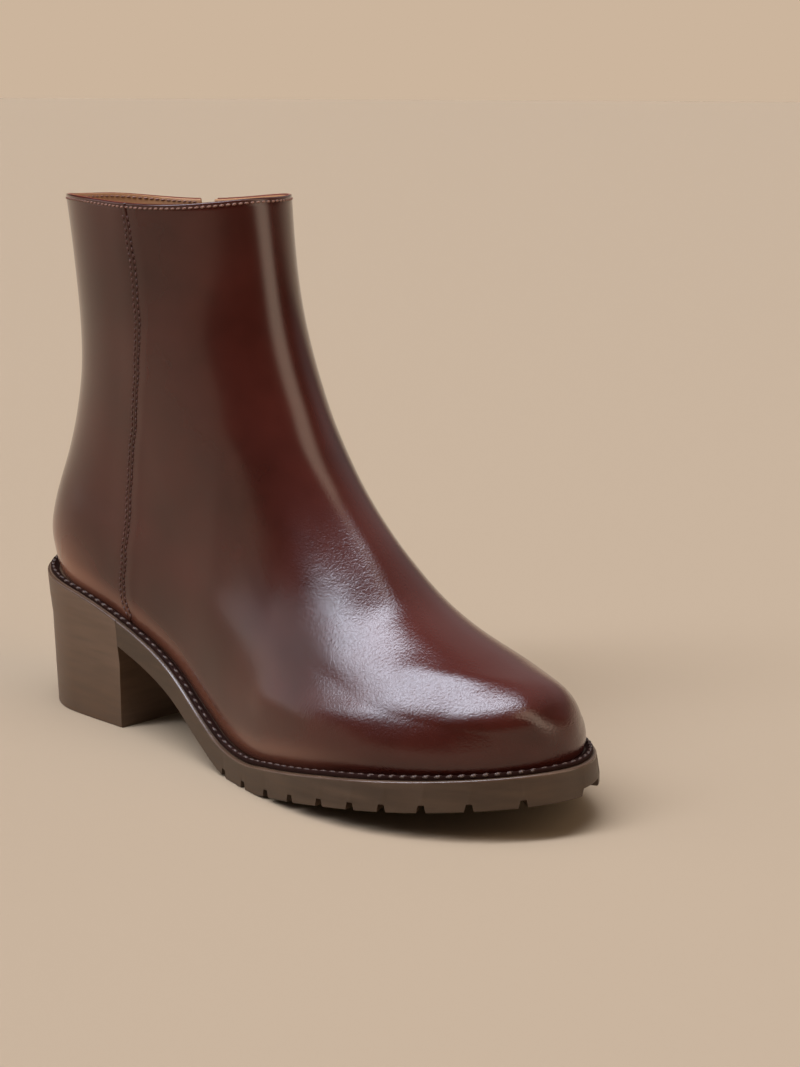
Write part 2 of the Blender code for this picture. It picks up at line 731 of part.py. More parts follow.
def main():
    """Build the boot."""
    for leftover in list(bpy.data.objects):
        bpy.data.objects.remove(leftover)
    root = bpy.data.objects.new("boot", None)
    bpy.context.collection.objects.link(root)

    leather = make_material("polished calf leather", (0.062, 0.017, 0.012), 0.28)
    rubber = make_material("moulded rubber", (0.052, 0.036, 0.023), 0.55)
    strip_leather = make_material("dark welt leather", (0.018, 0.009, 0.006), 0.5)
    board = make_material("insole leather", (0.38, 0.19, 0.085), 0.6)
    tape = make_material("woven tape", (0.02, 0.014, 0.011), 0.85)
    gunmetal = make_material("gunmetal", (0.11, 0.1, 0.09), 0.35, 1.0)

    make_outsole(rubber, root)
    make_heel(rubber, root)
    make_welt(strip_leather, root)
    make_upper(leather, root)
    make_insole(board, root)
    make_zip_strip("zip_tape", ZIP_HALF - GAP, TAPE_DEPTH, TAPE_THICK, TAPE_RINGS, tape, root)
    make_zip_strip("zip_teeth", TEETH_HALF, -TEETH_PROUD, TEETH_THICK, TEETH_RINGS, gunmetal, root)
    slider_place, pull_place = zip_frames()
    make_slider(gunmetal, root, slider_place)
    make_pull(gunmetal, root, pull_place)


main()
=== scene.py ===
"""Looks of the heeled ankle boot, right foot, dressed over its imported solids.

The last's own tables give every surface again at a finer step, so each piece lies where its
solid is. Lengths are millimetres on the last, with the toe to +X, the inner side of the foot
to +Y and the floor at z = 0, until a mesh is made.
"""

import logging
import math
from dataclasses import dataclass, field
from enum import Enum
from typing import Callable, NamedTuple, Optional, Sequence

import bmesh
import bpy
import numpy as np
from mathutils import Matrix, Vector

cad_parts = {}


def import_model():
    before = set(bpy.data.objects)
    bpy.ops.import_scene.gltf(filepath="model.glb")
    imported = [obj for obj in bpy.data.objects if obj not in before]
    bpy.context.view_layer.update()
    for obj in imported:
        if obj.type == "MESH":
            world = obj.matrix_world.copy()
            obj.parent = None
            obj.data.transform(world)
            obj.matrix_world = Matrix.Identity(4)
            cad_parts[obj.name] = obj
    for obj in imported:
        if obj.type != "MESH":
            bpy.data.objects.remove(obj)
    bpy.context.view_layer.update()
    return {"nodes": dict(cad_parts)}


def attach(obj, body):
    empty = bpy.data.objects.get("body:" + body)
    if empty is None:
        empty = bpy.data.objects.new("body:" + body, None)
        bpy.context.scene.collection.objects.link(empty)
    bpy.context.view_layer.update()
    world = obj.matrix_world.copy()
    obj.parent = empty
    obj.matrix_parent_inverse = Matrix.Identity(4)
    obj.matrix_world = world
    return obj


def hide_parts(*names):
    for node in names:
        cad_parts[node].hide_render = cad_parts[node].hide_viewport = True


LOG = logging.getLogger("boot")
MM = 0.001
DATUM = np.array([132.6, 0.1, 0.0])
GAP = 0.3

Line = Callable[[np.ndarray], np.ndarray]
Faces = list[tuple[int, ...]]
Finishes = dict["Finish", bpy.types.Material]


class Side(Enum):
    """Side of the foot, by the sign of y."""

    OUTER = -1
    INNER = 1


class RowShape(Enum):
    """What a row repeats along its path."""

    STITCH = "stitch"
    TOOTH = "tooth"
    RIB = "rib"


class Finish(Enum):
    """Finishes that the pieces ask for."""

    CALF = "calf"
    EDGE = "cut edge"
    LINING = "lining"
    SOCK = "sock"
    WELT = "welt"
    # The seam and collar threads are one thread: a painted shaded copy and a painted lit copy.
    SEAM_THREAD_PAINTED_DARK = "seam thread"
    COLLAR_THREAD_PAINTED_LIGHT = "collar thread"
    WELT_THREAD = "welt thread"
    RUBBER = "rubber"
    # Same rubber as the forepart, painted lighter on the heel.
    HEEL_RUBBER_PAINTED_LIGHTER = "heel rubber"
    RIM = "rim"
    TAPE = "tape"
    METAL = "metal"


class PlanRow(NamedTuple):
    """Sole outline from above at x."""

    x: float
    centre: float
    half_width: float


class RimRow(NamedTuple):
    """Height of the sole's top edge at x."""

    x: float
    height: float


class Ring(NamedTuple):
    """Ends of one ring of the upper, seen from the side."""

    back_x: float
    back_z: float
    front_x: float
    front_z: float


class ShaftRow(NamedTuple):
    """Half width of heel and shaft at a height."""

    z: float
    half_width: float


class CrossRow(NamedTuple):
    """How square the foot's cross-section is at x."""

    x: float
    power: float


class RoundRow(NamedTuple):
    """How far the rounding of back and front reaches into a ring."""

    ring: float
    back_reach: float
    front_reach: float


class SeamRow(NamedTuple):
    """Place of the outer side seam at a height."""

    z: float
    x: float


class Fold(NamedTuple):
    """Soft ridge in the leather along a line of points, or a trough where its height is below 0."""

    half_width: float
    height: float
    line: tuple[tuple[float, float, float], ...]


def column(rows: Sequence[NamedTuple], name: str) -> np.ndarray:
    """One column of a table as an array."""
    return np.array([getattr(row, name) for row in rows], float)


def through(xs: np.ndarray, ys: np.ndarray, at: np.ndarray) -> np.ndarray:
    """Smooth curve through the points of a short table, flat beyond its ends.

    Args:
        xs: Rising places of the points.
        ys: Values of the points.
        at: Places to read.

    Returns:
        Values at those places.
    """
    step = np.diff(xs)
    slope = np.diff(ys) / step
    tangent = np.empty_like(ys)
    tangent[1:-1] = (slope[:-1] * step[1:] + slope[1:] * step[:-1]) / (step[1:] + step[:-1])
    tangent[0] = 1.5 * slope[0] - 0.5 * tangent[1]
    tangent[-1] = 1.5 * slope[-1] - 0.5 * tangent[-2]
    at = np.clip(at, xs[0], xs[-1])
    k = np.clip(np.searchsorted(xs, at) - 1, 0, len(xs) - 2)
    h = step[k]
    f = (at - xs[k]) / h
    rise = f * f * (3 - 2 * f)
    bend = (f ** 3 - 2 * f ** 2 + f) * h * tangent[k] + (f ** 3 - f ** 2) * h * tangent[k + 1]
    return ys[k] * (1 - rise) + ys[k + 1] * rise + bend


def quarter(u: np.ndarray, power: np.ndarray) -> np.ndarray:
    """Quarter of a superellipse: 1 at u = 0, closing to 0 at u = 1."""
    return (1 - np.clip(u, 0, 1) ** power) ** (1 / power)


def ease(u: np.ndarray) -> np.ndarray:
    """Smooth step from 0 to 1."""
    u = np.clip(u, 0, 1)
    return u * u * (3 - 2 * u)


def bell(u: np.ndarray) -> np.ndarray:
    """Bell curve, 1 at u = 0."""
    return np.exp(-np.square(u))


def edge_drop(distance: np.ndarray, radius: float) -> np.ndarray:
    """How far a rounded edge lies below the face at a distance from the edge."""
    inside = np.clip(radius - distance, 0, radius)
    return radius - np.sqrt(radius ** 2 - inside ** 2)


def to_world(points: np.ndarray) -> np.ndarray:
    """Millimetres on the last to metres in the shared frame."""
    return (np.asarray(points, float) - DATUM) * MM


def linear(colour: str) -> tuple[float, float, float, float]:
    """Turn an sRGB hex colour to linear light.

    Args:
        colour: Colour such as "#4a2018".

    Returns:
        Red, green, blue and an alpha of 1.
    """
    parts = [int(colour[k:k + 2], 16) / 255 for k in (1, 3, 5)]
    light = [c / 12.92 if c <= 0.04045 else ((c + 0.055) / 1.055) ** 2.4 for c in parts]
    return light[0], light[1], light[2], 1.0


# Last

@dataclass(frozen=True)
class Last:
    """The form that the boot is made on."""

    length: float = 264.0
    edge: float = 10.7
    dip_outer: float = 1.0
    dip_inner: float = 1.8
    lean_outer: float = 3.5
    lean_inner: float = -1.8
    heel_reach: float = 34.0
    heel_power: float = 2.2
    toe_reach: float = 64.0
    toe_power: float = 1.8
    upper_toe_reach: float = 60.0
    upper_toe_power: float = 2.0
    margin_heel: float = 3.5
    margin_fore: float = 5.2
    shaft_power: float = 2.05
    back_power: float = 2.15
    zip_top_x: float = 49.0
    zip_top_z: float = 202.0
    zip_lean: float = 0.22
    seam_wander: float = 0.18
    lift_end: float = 0.75
    lift_power: float = 1.6
    dip_start: float = 0.7
    dip_run: float = 0.3
    shaft_start: float = 0.4
    shaft_run: float = 0.4
    leg_full: float = 0.8
    side_swell: float = 0.05
    plan: tuple[PlanRow, ...] = (
        PlanRow(0, 0.5, 33.5), PlanRow(40, 0.5, 33.5), PlanRow(64, -0.5, 32), PlanRow(100, -3, 31),
        PlanRow(130, -4.5, 35), PlanRow(160, -3, 42.5), PlanRow(185, -1, 46), PlanRow(205, 1, 46),
        PlanRow(235, 4.5, 46), PlanRow(264, 8, 46),
    )
    rims: tuple[RimRow, ...] = (
        RimRow(0, 57.5), RimRow(55, 47), RimRow(95, 32), RimRow(118, 18.5), RimRow(132, 12),
        RimRow(150, 10), RimRow(166, 12), RimRow(200, 17), RimRow(235, 21), RimRow(264, 24),
    )
    rings: tuple[Ring, ...] = (
        Ring(4.5, 57.5, 258.5, 24), Ring(1.5, 66, 258, 33), Ring(0, 74, 255.5, 40.5),
        Ring(2, 84, 248, 49), Ring(5.5, 95, 229, 55.5), Ring(10.5, 108, 200, 68),
        Ring(15.5, 123, 179, 86.5), Ring(19.5, 141, 160, 106), Ring(20.5, 162, 142, 131),
        Ring(19, 185, 126.5, 166), Ring(16, 205, 118.5, 207.5),
    )
    shaft: tuple[ShaftRow, ...] = (
        ShaftRow(57, 30), ShaftRow(75, 31), ShaftRow(100, 29), ShaftRow(125, 28.5),
        ShaftRow(150, 29.5), ShaftRow(180, 32), ShaftRow(208, 34),
    )
    cross: tuple[CrossRow, ...] = (
        CrossRow(150, 2.0), CrossRow(200, 2.35), CrossRow(230, 2.25), CrossRow(264, 2.0),
    )
    rounding: tuple[RoundRow, ...] = (
        RoundRow(0, 34, 130), RoundRow(0.3, 38, 120), RoundRow(0.6, 42, 90), RoundRow(1, 48, 50),
    )
    seam: tuple[SeamRow, ...] = (
        SeamRow(47, 68), SeamRow(52, 66), SeamRow(58, 65.5), SeamRow(67, 67), SeamRow(80, 68.5),
        SeamRow(104, 70.5), SeamRow(124, 74.5), SeamRow(140, 77.5), SeamRow(157, 80.5),
        SeamRow(176, 80.5), SeamRow(191, 79), SeamRow(204, 77),
    )

    # Where the margin of the sole grows from its heel value to its forepart value
    MARGIN_SPAN = (50, 120)
    # Steps over which a normal is measured, up the rings and round them
    RING_STEP = 0.004
    TURN_STEP = 0.03

    def centre(self, x: np.ndarray) -> np.ndarray:
        """Middle of the sole at x."""
        return through(column(self.plan, "x"), column(self.plan, "centre"), x)

    def half_width(self, x: np.ndarray) -> np.ndarray:
        """Half width of the sole at x, before its ends are rounded."""
        return through(column(self.plan, "x"), column(self.plan, "half_width"), x)

    def rim(self, x: np.ndarray) -> np.ndarray:
        """Height of the sole's top edge at x."""
        return through(column(self.rims, "x"), column(self.rims, "height"), x)

    def underside(self, x: np.ndarray) -> np.ndarray:
        """Height of the sole's underside at x, flat where the ball meets the floor."""
        return np.maximum(self.rim(x) - self.edge, 0.0)

    def sole_half(self, x: np.ndarray) -> np.ndarray:
        """Half width of the sole with its heel and toe rounded."""
        heel = quarter(1 - x / self.heel_reach, self.heel_power)
        toe = quarter(1 - (self.length - x) / self.toe_reach, self.toe_power)
        return self.half_width(x) * heel * toe

    def ring(self, t: np.ndarray, name: str) -> np.ndarray:
        """One column of the ring table at ring fraction t."""
        return through(np.linspace(0, 1, len(self.rings)), column(self.rings, name), t)

    def ridge(self, x: np.ndarray) -> np.ndarray:
        """Height of the upper's front line above x."""
        t = np.linspace(0, 1, 800)
        front_x = self.ring(t, "front_x")
        first = int(np.argmax(front_x))
        return np.interp(x, front_x[first:][::-1], self.ring(t, "front_z")[first:][::-1])

    def foot_half(self, x: np.ndarray, tip: np.ndarray) -> np.ndarray:
        """Half width of the upper at its feather edge, rounded towards its tip."""
        margin = np.interp(x, self.MARGIN_SPAN, [self.margin_heel, self.margin_fore])
        close = quarter(1 - (tip - x) / self.upper_toe_reach, self.upper_toe_power)
        return (self.half_width(x) - margin) * close

    def skin(self, t: np.ndarray, theta: np.ndarray) -> np.ndarray:
        """Outer face of the upper.

        Args:
            t: Ring fraction, 0 at the feather edge and 1 at the collar.
            theta: Angle round the ring, 0 at the front, pi at the back, outer side between.

        Returns:
            Points on the last.
        """
        t, theta = np.broadcast_arrays(np.asarray(t, float), np.asarray(theta, float))
        s = 0.5 + 0.5 * np.cos(theta)
        side = np.where(np.sin(theta) >= 0, -1.0, 1.0)
        back_x, back_z, front_x, front_z = (self.ring(t, name) for name in Ring._fields)
        x = back_x + (front_x - back_x) * s

        first = self.rings[0]
        edge_x = first.back_x + (first.front_x - first.back_x) * s
        chord = self.rim(first.back_x) * (1 - s) + self.rim(first.front_x) * s
        lift = self.rim(edge_x) - chord
        fade = (1 - np.clip(t / self.lift_end, 0, 1)) ** self.lift_power
        z = back_z + (front_z - back_z) * s + fade * lift
        dip = np.where(side < 0, self.dip_outer, self.dip_inner) * ease((t - self.dip_start) / self.dip_run)
        lean = np.where(side < 0, self.lean_outer, self.lean_inner)
        z = z - dip * (1 + lean * np.cos(theta)) * np.sin(theta) ** 2

        low = self.rim(np.clip(x, 0, self.length)) + GAP
        share = np.clip((z - low) / np.maximum(self.ridge(x) - low, 1), 0, 1)
        rounds = column(self.rounding, "ring")
        reach = np.interp(t, rounds, column(self.rounding, "front_reach"))
        shaft = ease((t - self.shaft_start) / self.shaft_run)
        close = (1 - shaft) * share + shaft * np.clip(1 - (front_x - x) / reach, 0, 1)
        power = np.interp(x, column(self.cross, "x"), column(self.cross, "power"))
        front = quarter(close, power * (1 - shaft) + self.shaft_power * shaft)
        back_reach = np.interp(t, rounds, column(self.rounding, "back_reach"))
        back = quarter(1 - (x - back_x) / back_reach, self.back_power)
        leg = ease(t / self.leg_full)
        swell = 1 + self.side_swell * np.sin(np.pi * np.clip(close / 0.5, 0, 1))
        leg_half = through(column(self.shaft, "z"), column(self.shaft, "half_width"), back_z)
        tip = np.maximum(front_x, first.front_x)
        width = (1 - leg) * self.foot_half(x, tip) * swell + leg * leg_half
        y = (1 - leg) * self.centre(x) + side * width * front * back
        return np.stack([x, y, z], -1)

    def normal(self, t: np.ndarray, theta: np.ndarray) -> np.ndarray:
        """Outward normal of the upper's face at ring t and angle theta."""
        t, theta = np.broadcast_arrays(np.asarray(t, float), np.asarray(theta, float))
        above, below = (np.clip(t + step, 0, 1) for step in (self.RING_STEP, -self.RING_STEP))
        rise = self.skin(above, theta) - self.skin(below, theta)
        turn = self.skin(t, theta + self.TURN_STEP) - self.skin(t, theta - self.TURN_STEP)
        normal = np.cross(rise, turn)
        return normal / np.linalg.norm(normal, axis=-1, keepdims=True)

    def rate(self, t: np.ndarray, theta: np.ndarray) -> np.ndarray:
        """Millimetres that the skin climbs per unit of ring just below ring t."""
        step = 0.01
        rise = self.skin(t, theta) - self.skin(t - step, theta)
        return np.linalg.norm(rise, axis=-1) / step

    def seam_line(self, z: np.ndarray) -> np.ndarray:
        """Place of the outer side seam at height z, as it wanders a little under the needle."""
        wander = self.seam_wander * (np.sin(z / 3.1) + 0.6 * np.sin(z / 1.7))
        return through(column(self.seam, "z"), column(self.seam, "x"), z) + wander

    def zip_line(self, z: np.ndarray) -> np.ndarray:
        """Place of the zip's middle, and of the seam below it, at height z."""
        return self.zip_top_x + (self.zip_top_z - z) * self.zip_lean

    def angle_on(self, t: np.ndarray, line: Line, offset: np.ndarray, side: Side) -> np.ndarray:
        """Angle on ring t where the skin crosses a line.

        Args:
            t: Ring fractions.
            line: Gives x at a height.
            offset: Distance from the line towards the toe.
            side: Side of the foot.

        Returns:
            Angles, in the shape of t and offset together.
        """
        t, offset = np.broadcast_arrays(np.asarray(t, float), np.asarray(offset, float))
        back_x = self.ring(t, "back_x")
        length = self.ring(t, "front_x") - back_x
        s = np.full(t.shape, 0.4)
        for _ in range(12):
            theta = np.arccos(np.clip(2 * s - 1, -1, 1))
            s = (line(self.skin(t, theta)[..., 2]) + offset - back_x) / length
        theta = np.arccos(np.clip(2 * s - 1, -1, 1))
        return theta if side is Side.OUTER else 2 * np.pi - theta

    def edge_path(self, start_x: float, end_x: float, side: Side) -> np.ndarray:
        """Dense edge of the sole on one side, from end_x to start_x."""
        f = 1 - np.cos(np.linspace(0, np.pi / 2, 1600))
        x = end_x + (start_x - end_x) * f
        return np.column_stack([x, self.centre(x) + side.value * self.sole_half(x)])


# Meshes

def make_piece(name: str, points: np.ndarray, faces: Faces, materials: Sequence[bpy.types.Material],
               slots: Optional[Sequence[int]] = None, sharp: float = 35.0) -> bpy.types.Object:
    """Make one closed mesh object from points on the last.

    Args:
        name: Name of the piece.
        points: Vertices in millimetres.
        faces: Vertex numbers of each face.
        materials: Materials of the piece.
        slots: Material number of each face, or None for the first.
        sharp: Angle in degrees above which an edge stays sharp.

    Returns:
        The new object.
    """
    mesh = bpy.data.meshes.new(name)
    mesh.from_pydata(to_world(points).tolist(), [], faces)
    for material in materials:
        mesh.materials.append(material)
    if slots is not None:
        mesh.polygons.foreach_set("material_index", np.asarray(slots, np.int32))
    return finish_piece(name, mesh, sharp)


def finish_piece(name: str, mesh: bpy.types.Mesh, sharp: float) -> bpy.types.Object:
    """Drop loose points, turn faces outwards, smooth the mesh and link it as an object."""
    shape = bmesh.new()
    shape.from_mesh(mesh)
    loose = [vertex for vertex in shape.verts if not vertex.link_faces]
    bmesh.ops.delete(shape, geom=loose, context="VERTS")
    bmesh.ops.recalc_face_normals(shape, faces=shape.faces)
    shape.to_mesh(mesh)
    shape.free()
    mesh.shade_smooth()
    mesh.set_sharp_from_angle(angle=math.radians(sharp))
    piece = bpy.data.objects.new(name, mesh)
    bpy.context.collection.objects.link(piece)
    return piece


def strip(lower: Sequence[int], upper: Sequence[int], closed: bool = True) -> Faces:
    """Quads between two rows of vertex numbers."""
    count = len(lower) if closed else len(lower) - 1
    return [
        (lower[k], lower[(k + 1) % len(lower)], upper[(k + 1) % len(upper)], upper[k])
        for k in range(count)
    ]


def number(loops: Sequence[np.ndarray]) -> tuple[np.ndarray, list[list[int]]]:
    """Stack loops of points and give each one its vertex numbers."""
    points = np.concatenate(loops)
    starts = np.cumsum([0] + [len(loop) for loop in loops[:-1]])
    return points, [list(range(start, start + len(loop))) for start, loop in zip(starts, loops)]


def lid(loop: Sequence[int]) -> Faces:
    """Faces across a loop that runs down one side, round its end and up the other."""
    count = len(loop)
    faces: Faces = []
    for k in range((count - 1) // 2):
        far = count - 1 - k
        if far - 1 == k + 1:
            faces.append((loop[k], loop[k + 1], loop[far]))
        else:
            faces.append((loop[k], loop[k + 1], loop[far - 1], loop[far]))
    return faces


def with_height(path: np.ndarray, height: np.ndarray) -> np.ndarray:
    """Plan points with a height each."""
    return np.column_stack([path, height])


def edge_normals(path: np.ndarray) -> np.ndarray:
    """Outward normals of an open plan path round an end of the foot, sideways at its two ends."""
    run = np.gradient(path, axis=0)
    normal = np.column_stack([-run[:, 1], run[:, 0]])
    if np.sum(normal * (path - path.mean(axis=0))) < 0:
        normal = -normal
    normal[[0, -1], 0] = 0
    return normal / np.linalg.norm(normal, axis=1, keepdims=True)


def walk(path: np.ndarray, shares: np.ndarray) -> np.ndarray:
    """Points on a plan path at shares of its length."""
    length = np.concatenate([[0], np.cumsum(np.linalg.norm(np.diff(path, axis=0), axis=1))])
    at = np.asarray(shares) * length[-1]
    return np.column_stack([np.interp(at, length, path[:, k]) for k in range(2)])


def settle(piece: bpy.types.Object) -> bpy.types.Object:
    """Turn a piece's modifiers into a plain mesh."""
    depsgraph = bpy.context.evaluated_depsgraph_get()
    mesh = bpy.data.meshes.new_from_object(piece.evaluated_get(depsgraph))
    piece.modifiers.clear()
    piece.data = mesh
    return piece


def dress(piece: bpy.types.Object, body: str, slot: str, *nodes: str) -> bpy.types.Object:
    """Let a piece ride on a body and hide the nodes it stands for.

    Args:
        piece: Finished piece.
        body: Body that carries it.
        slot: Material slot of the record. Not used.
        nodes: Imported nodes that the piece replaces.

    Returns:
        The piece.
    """
    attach(piece, body)
    if nodes:
        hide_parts(*nodes)
    LOG.info("%s: %d faces on %s", piece.name, len(piece.data.polygons), body)
    return piece


# Finishes

def add_node(tree: bpy.types.NodeTree, kind: str, inputs: Optional[dict] = None,
             **settings: object) -> bpy.types.Node:
    """Add a node, set its properties and fill its inputs.

    Args:
        tree: Tree that gets the node.
        kind: Class name of the node.
        inputs: Socket name or number to a value, or to an output that is linked to it.
        settings: Properties of the node.

    Returns:
        The new node.
    """
    made = tree.nodes.new(kind)
    for name, value in settings.items():
        setattr(made, name, value)
    for key, value in (inputs or {}).items():
        if isinstance(value, bpy.types.NodeSocket):
            tree.links.new(value, made.inputs[key])
        else:
            made.inputs[key].default_value = value
    return made


class Surface(NamedTuple):
    """A material in the making: its tree, its shader and the piece's Object coordinates."""

    material: bpy.types.Material
    tree: bpy.types.NodeTree
    shader: bpy.types.Node
    place: bpy.types.NodeSocket


def start_material(name: str) -> Surface:
    """Begin a material that is named for the real one."""
    material = bpy.data.materials.new(name)
    material.use_nodes = True
    tree = material.node_tree
    shader = tree.nodes["Principled BSDF"]
    place = add_node(tree, "ShaderNodeTexCoord").outputs["Object"]
    return Surface(material, tree, shader, place)


@dataclass(frozen=True)
class PolishedCalf:
    """Aniline calf, polished to a soft gloss: deep wine brown, cloudy in tone, with fine pores."""

    dark: str = "#33120b"
    light: str = "#411a13"
    # Lighter tone where the vamp faces up: partly leather lightened by rubbing, partly painted light from
    # above.
    rubbed_and_top_lit: str = "#4e1e17"
    # Lighter tan low on the upper and on the heel counter: painted bounce light and reflection from the
    # floor.
    floor_light: str = "#805541"
    # Darker tone: polish darkening along the side seam and the zip, and painted shade at the foot of the
    # upper by the welt.
    burnished_and_shaded: str = "#2a0d08"
    cloud_mm: float = 38.0
    grain_mm: float = 0.9
    fibre_mm: float = 0.5
    wrinkle_mm: float = 4.0
    relief_mm: float = 0.04
    smoothest: float = 0.16
    roughest: float = 0.3

    def material(self) -> bpy.types.Material:
        """Build the material."""
        material, tree, shader, place = start_material("polished calf")
        cloud = add_node(tree, "ShaderNodeTexNoise", {
            "Vector": place, "Scale": 1 / (self.cloud_mm * MM), "Detail": 3.0, "Roughness": 0.55})
        share = add_node(tree, "ShaderNodeMapRange", {
            "Value": cloud.outputs["Fac"], "From Min": 0.35, "From Max": 0.65})
        tone = add_node(tree, "ShaderNodeMix", {
            0: share.outputs["Result"], 6: linear(self.dark), 7: linear(self.light)}, data_type="RGBA")
        # Tones laid on by attributes: rubbing with painted top light, painted floor light, and polish
        # darkening with painted shade.
        wear_and_light_tones = {"rubbed_and_top_lit": self.rubbed_and_top_lit, "floor_light": self.floor_light, "burnish_and_shade": self.burnished_and_shaded}
        for name, wear_and_light_tone in wear_and_light_tones.items():
            weight = add_node(tree, "ShaderNodeAttribute", attribute_name=name)
            tone = add_node(tree, "ShaderNodeMix", {
                0: weight.outputs["Fac"], 6: tone.outputs[2], 7: linear(wear_and_light_tone)}, data_type="RGBA")
        tree.links.new(tone.outputs[2], shader.inputs["Base Color"])

        # Hair pores and drawn fibres, coarser than real ones so that they show in the highlights
        turned = add_node(tree, "ShaderNodeMapping", {
            "Vector": place, "Rotation": (0.4, 0.5, 0.3), "Scale": (1.0, 0.35, 1.0)})
        fibre = add_node(tree, "ShaderNodeTexNoise", {
            "Vector": turned.outputs["Vector"], "Scale": 1 / (self.fibre_mm * MM), "Detail": 3.0})
        pores = add_node(tree, "ShaderNodeTexVoronoi", {
            "Vector": place, "Scale": 1 / (self.grain_mm * MM)}, feature="SMOOTH_F1")
        drawn = add_node(tree, "ShaderNodeMapping", {
            "Vector": place, "Rotation": (0.2, 0.3, 0.5), "Scale": (1.0, 0.4, 1.0)})
        wrinkle = add_node(tree, "ShaderNodeTexNoise", {
            "Vector": drawn.outputs["Vector"], "Scale": 1 / (self.wrinkle_mm * MM), "Detail": 4.0})
        fine = add_node(tree, "ShaderNodeMath", {
            0: fibre.outputs["Fac"], 1: 2.0, 2: pores.outputs["Distance"]}, operation="MULTIPLY_ADD")
        height = add_node(tree, "ShaderNodeMath", {
            0: wrinkle.outputs["Fac"], 1: 1.5, 2: fine.outputs[0]}, operation="MULTIPLY_ADD")
        opened = add_node(tree, "ShaderNodeAttribute", attribute_name="grain")
        bump = add_node(tree, "ShaderNodeBump", {
            "Height": height.outputs[0], "Strength": opened.outputs["Fac"], "Distance": self.relief_mm * MM})
        for layer in ("Normal", "Coat Normal"):
            tree.links.new(bump.outputs["Normal"], shader.inputs[layer])
        rough = add_node(tree, "ShaderNodeMapRange", {
            "Value": fibre.outputs["Fac"], "To Min": self.smoothest, "To Max": self.roughest})
        tree.links.new(rough.outputs["Result"], shader.inputs["Roughness"])
        shader.inputs["IOR"].default_value = 1.42
        shader.inputs["Coat Weight"].default_value = 0.5
        shader.inputs["Coat Roughness"].default_value = 0.1
        shader.inputs["Coat IOR"].default_value = 1.4
        return material


@dataclass(frozen=True)
class PlainLeather:
    """Undyed or edge-painted leather: matt, with a soft nap and uneven tone."""

    name: str
    dark: str
    light: str
    roughness: float
    nap_mm: float = 0.8
    shine: float = 0.5
    relief_mm: float = 0.12
    unevenness: float = 0.08

    def material(self) -> bpy.types.Material:
        """Build the material."""
        material, tree, shader, place = start_material(self.name)
        shader.inputs["Specular IOR Level"].default_value = self.shine
        blotch = add_node(tree, "ShaderNodeTexNoise", {
            "Vector": place, "Scale": 1 / (14 * self.nap_mm * MM), "Detail": 4.0})
        tone = add_node(tree, "ShaderNodeMix", {
            0: blotch.outputs["Fac"], 6: linear(self.dark), 7: linear(self.light)}, data_type="RGBA")
        tree.links.new(tone.outputs[2], shader.inputs["Base Color"])
        nap = add_node(tree, "ShaderNodeTexNoise", {
            "Vector": place, "Scale": 1 / (self.nap_mm * MM), "Detail": 5.0, "Roughness": 0.65})
        bump = add_node(tree, "ShaderNodeBump", {
            "Height": nap.outputs["Fac"], "Strength": 0.4, "Distance": self.relief_mm * MM})
        tree.links.new(bump.outputs["Normal"], shader.inputs["Normal"])
        rough = add_node(tree, "ShaderNodeMapRange", {
            "Value": nap.outputs["Fac"], "To Min": self.roughness - self.unevenness,
            "To Max": self.roughness + self.unevenness})
        tree.links.new(rough.outputs["Result"], shader.inputs["Roughness"])
        return material


@dataclass(frozen=True)
class MouldedRubber:
    """Moulded rubber: dark brown, satin, with the mould's fine grit and faint drag lines."""

    name: str = "moulded rubber"
    dark: str = "#2a1e14"
    light: str = "#4e3a28"
    gloss: float = 0.36
    grit_mm: float = 0.7
    drag_mm: float = 2.2
    relief_mm: float = 0.12

    def material(self) -> bpy.types.Material:
        """Build the material."""
        material, tree, shader, place = start_material(self.name)
        flat = add_node(tree, "ShaderNodeMapping", {"Vector": place, "Scale": (0.12, 0.12, 1.0)})
        drag = add_node(tree, "ShaderNodeTexNoise", {
            "Vector": flat.outputs["Vector"], "Scale": 1 / (self.drag_mm * MM), "Detail": 4.0})
        tone = add_node(tree, "ShaderNodeMix", {
            0: drag.outputs["Fac"], 6: linear(self.dark), 7: linear(self.light)}, data_type="RGBA")
        tree.links.new(tone.outputs[2], shader.inputs["Base Color"])
        grit = add_node(tree, "ShaderNodeTexNoise", {
            "Vector": place, "Scale": 1 / (self.grit_mm * MM), "Detail": 3.0})
        height = add_node(tree, "ShaderNodeMath", {
            0: grit.outputs["Fac"], 1: drag.outputs["Fac"]}, operation="ADD")
        bump = add_node(tree, "ShaderNodeBump", {
            "Height": height.outputs[0], "Strength": 0.3, "Distance": self.relief_mm * MM})
        tree.links.new(bump.outputs["Normal"], shader.inputs["Normal"])
        rough = add_node(tree, "ShaderNodeMapRange", {
            "Value": drag.outputs["Fac"], "To Min": self.gloss, "To Max": 1.6 * self.gloss})
        tree.links.new(rough.outputs["Result"], shader.inputs["Roughness"])
        return material


@dataclass(frozen=True)
class WaxedThread:
    """Waxed polyester thread: round, twisted, with a dull shine."""

    name: str
    dark: str
    light: str
    twist_mm: float = 0.45
    relief_mm: float = 0.1

    def material(self) -> bpy.types.Material:
        """Build the material."""
        material, tree, shader, place = start_material(self.name)
        twist = add_node(tree, "ShaderNodeTexWave", {
            "Vector": place, "Scale": 0.3 / (self.twist_mm * MM), "Distortion": 1.5},
            bands_direction="DIAGONAL")
        tone = add_node(tree, "ShaderNodeMix", {
            0: twist.outputs["Fac"], 6: linear(self.dark), 7: linear(self.light)}, data_type="RGBA")
        tree.links.new(tone.outputs[2], shader.inputs["Base Color"])
        bump = add_node(tree, "ShaderNodeBump", {
            "Height": twist.outputs["Fac"], "Strength": 0.5, "Distance": self.relief_mm * MM})
        tree.links.new(bump.outputs["Normal"], shader.inputs["Normal"])
        shader.inputs["Roughness"].default_value = 0.5
        return material


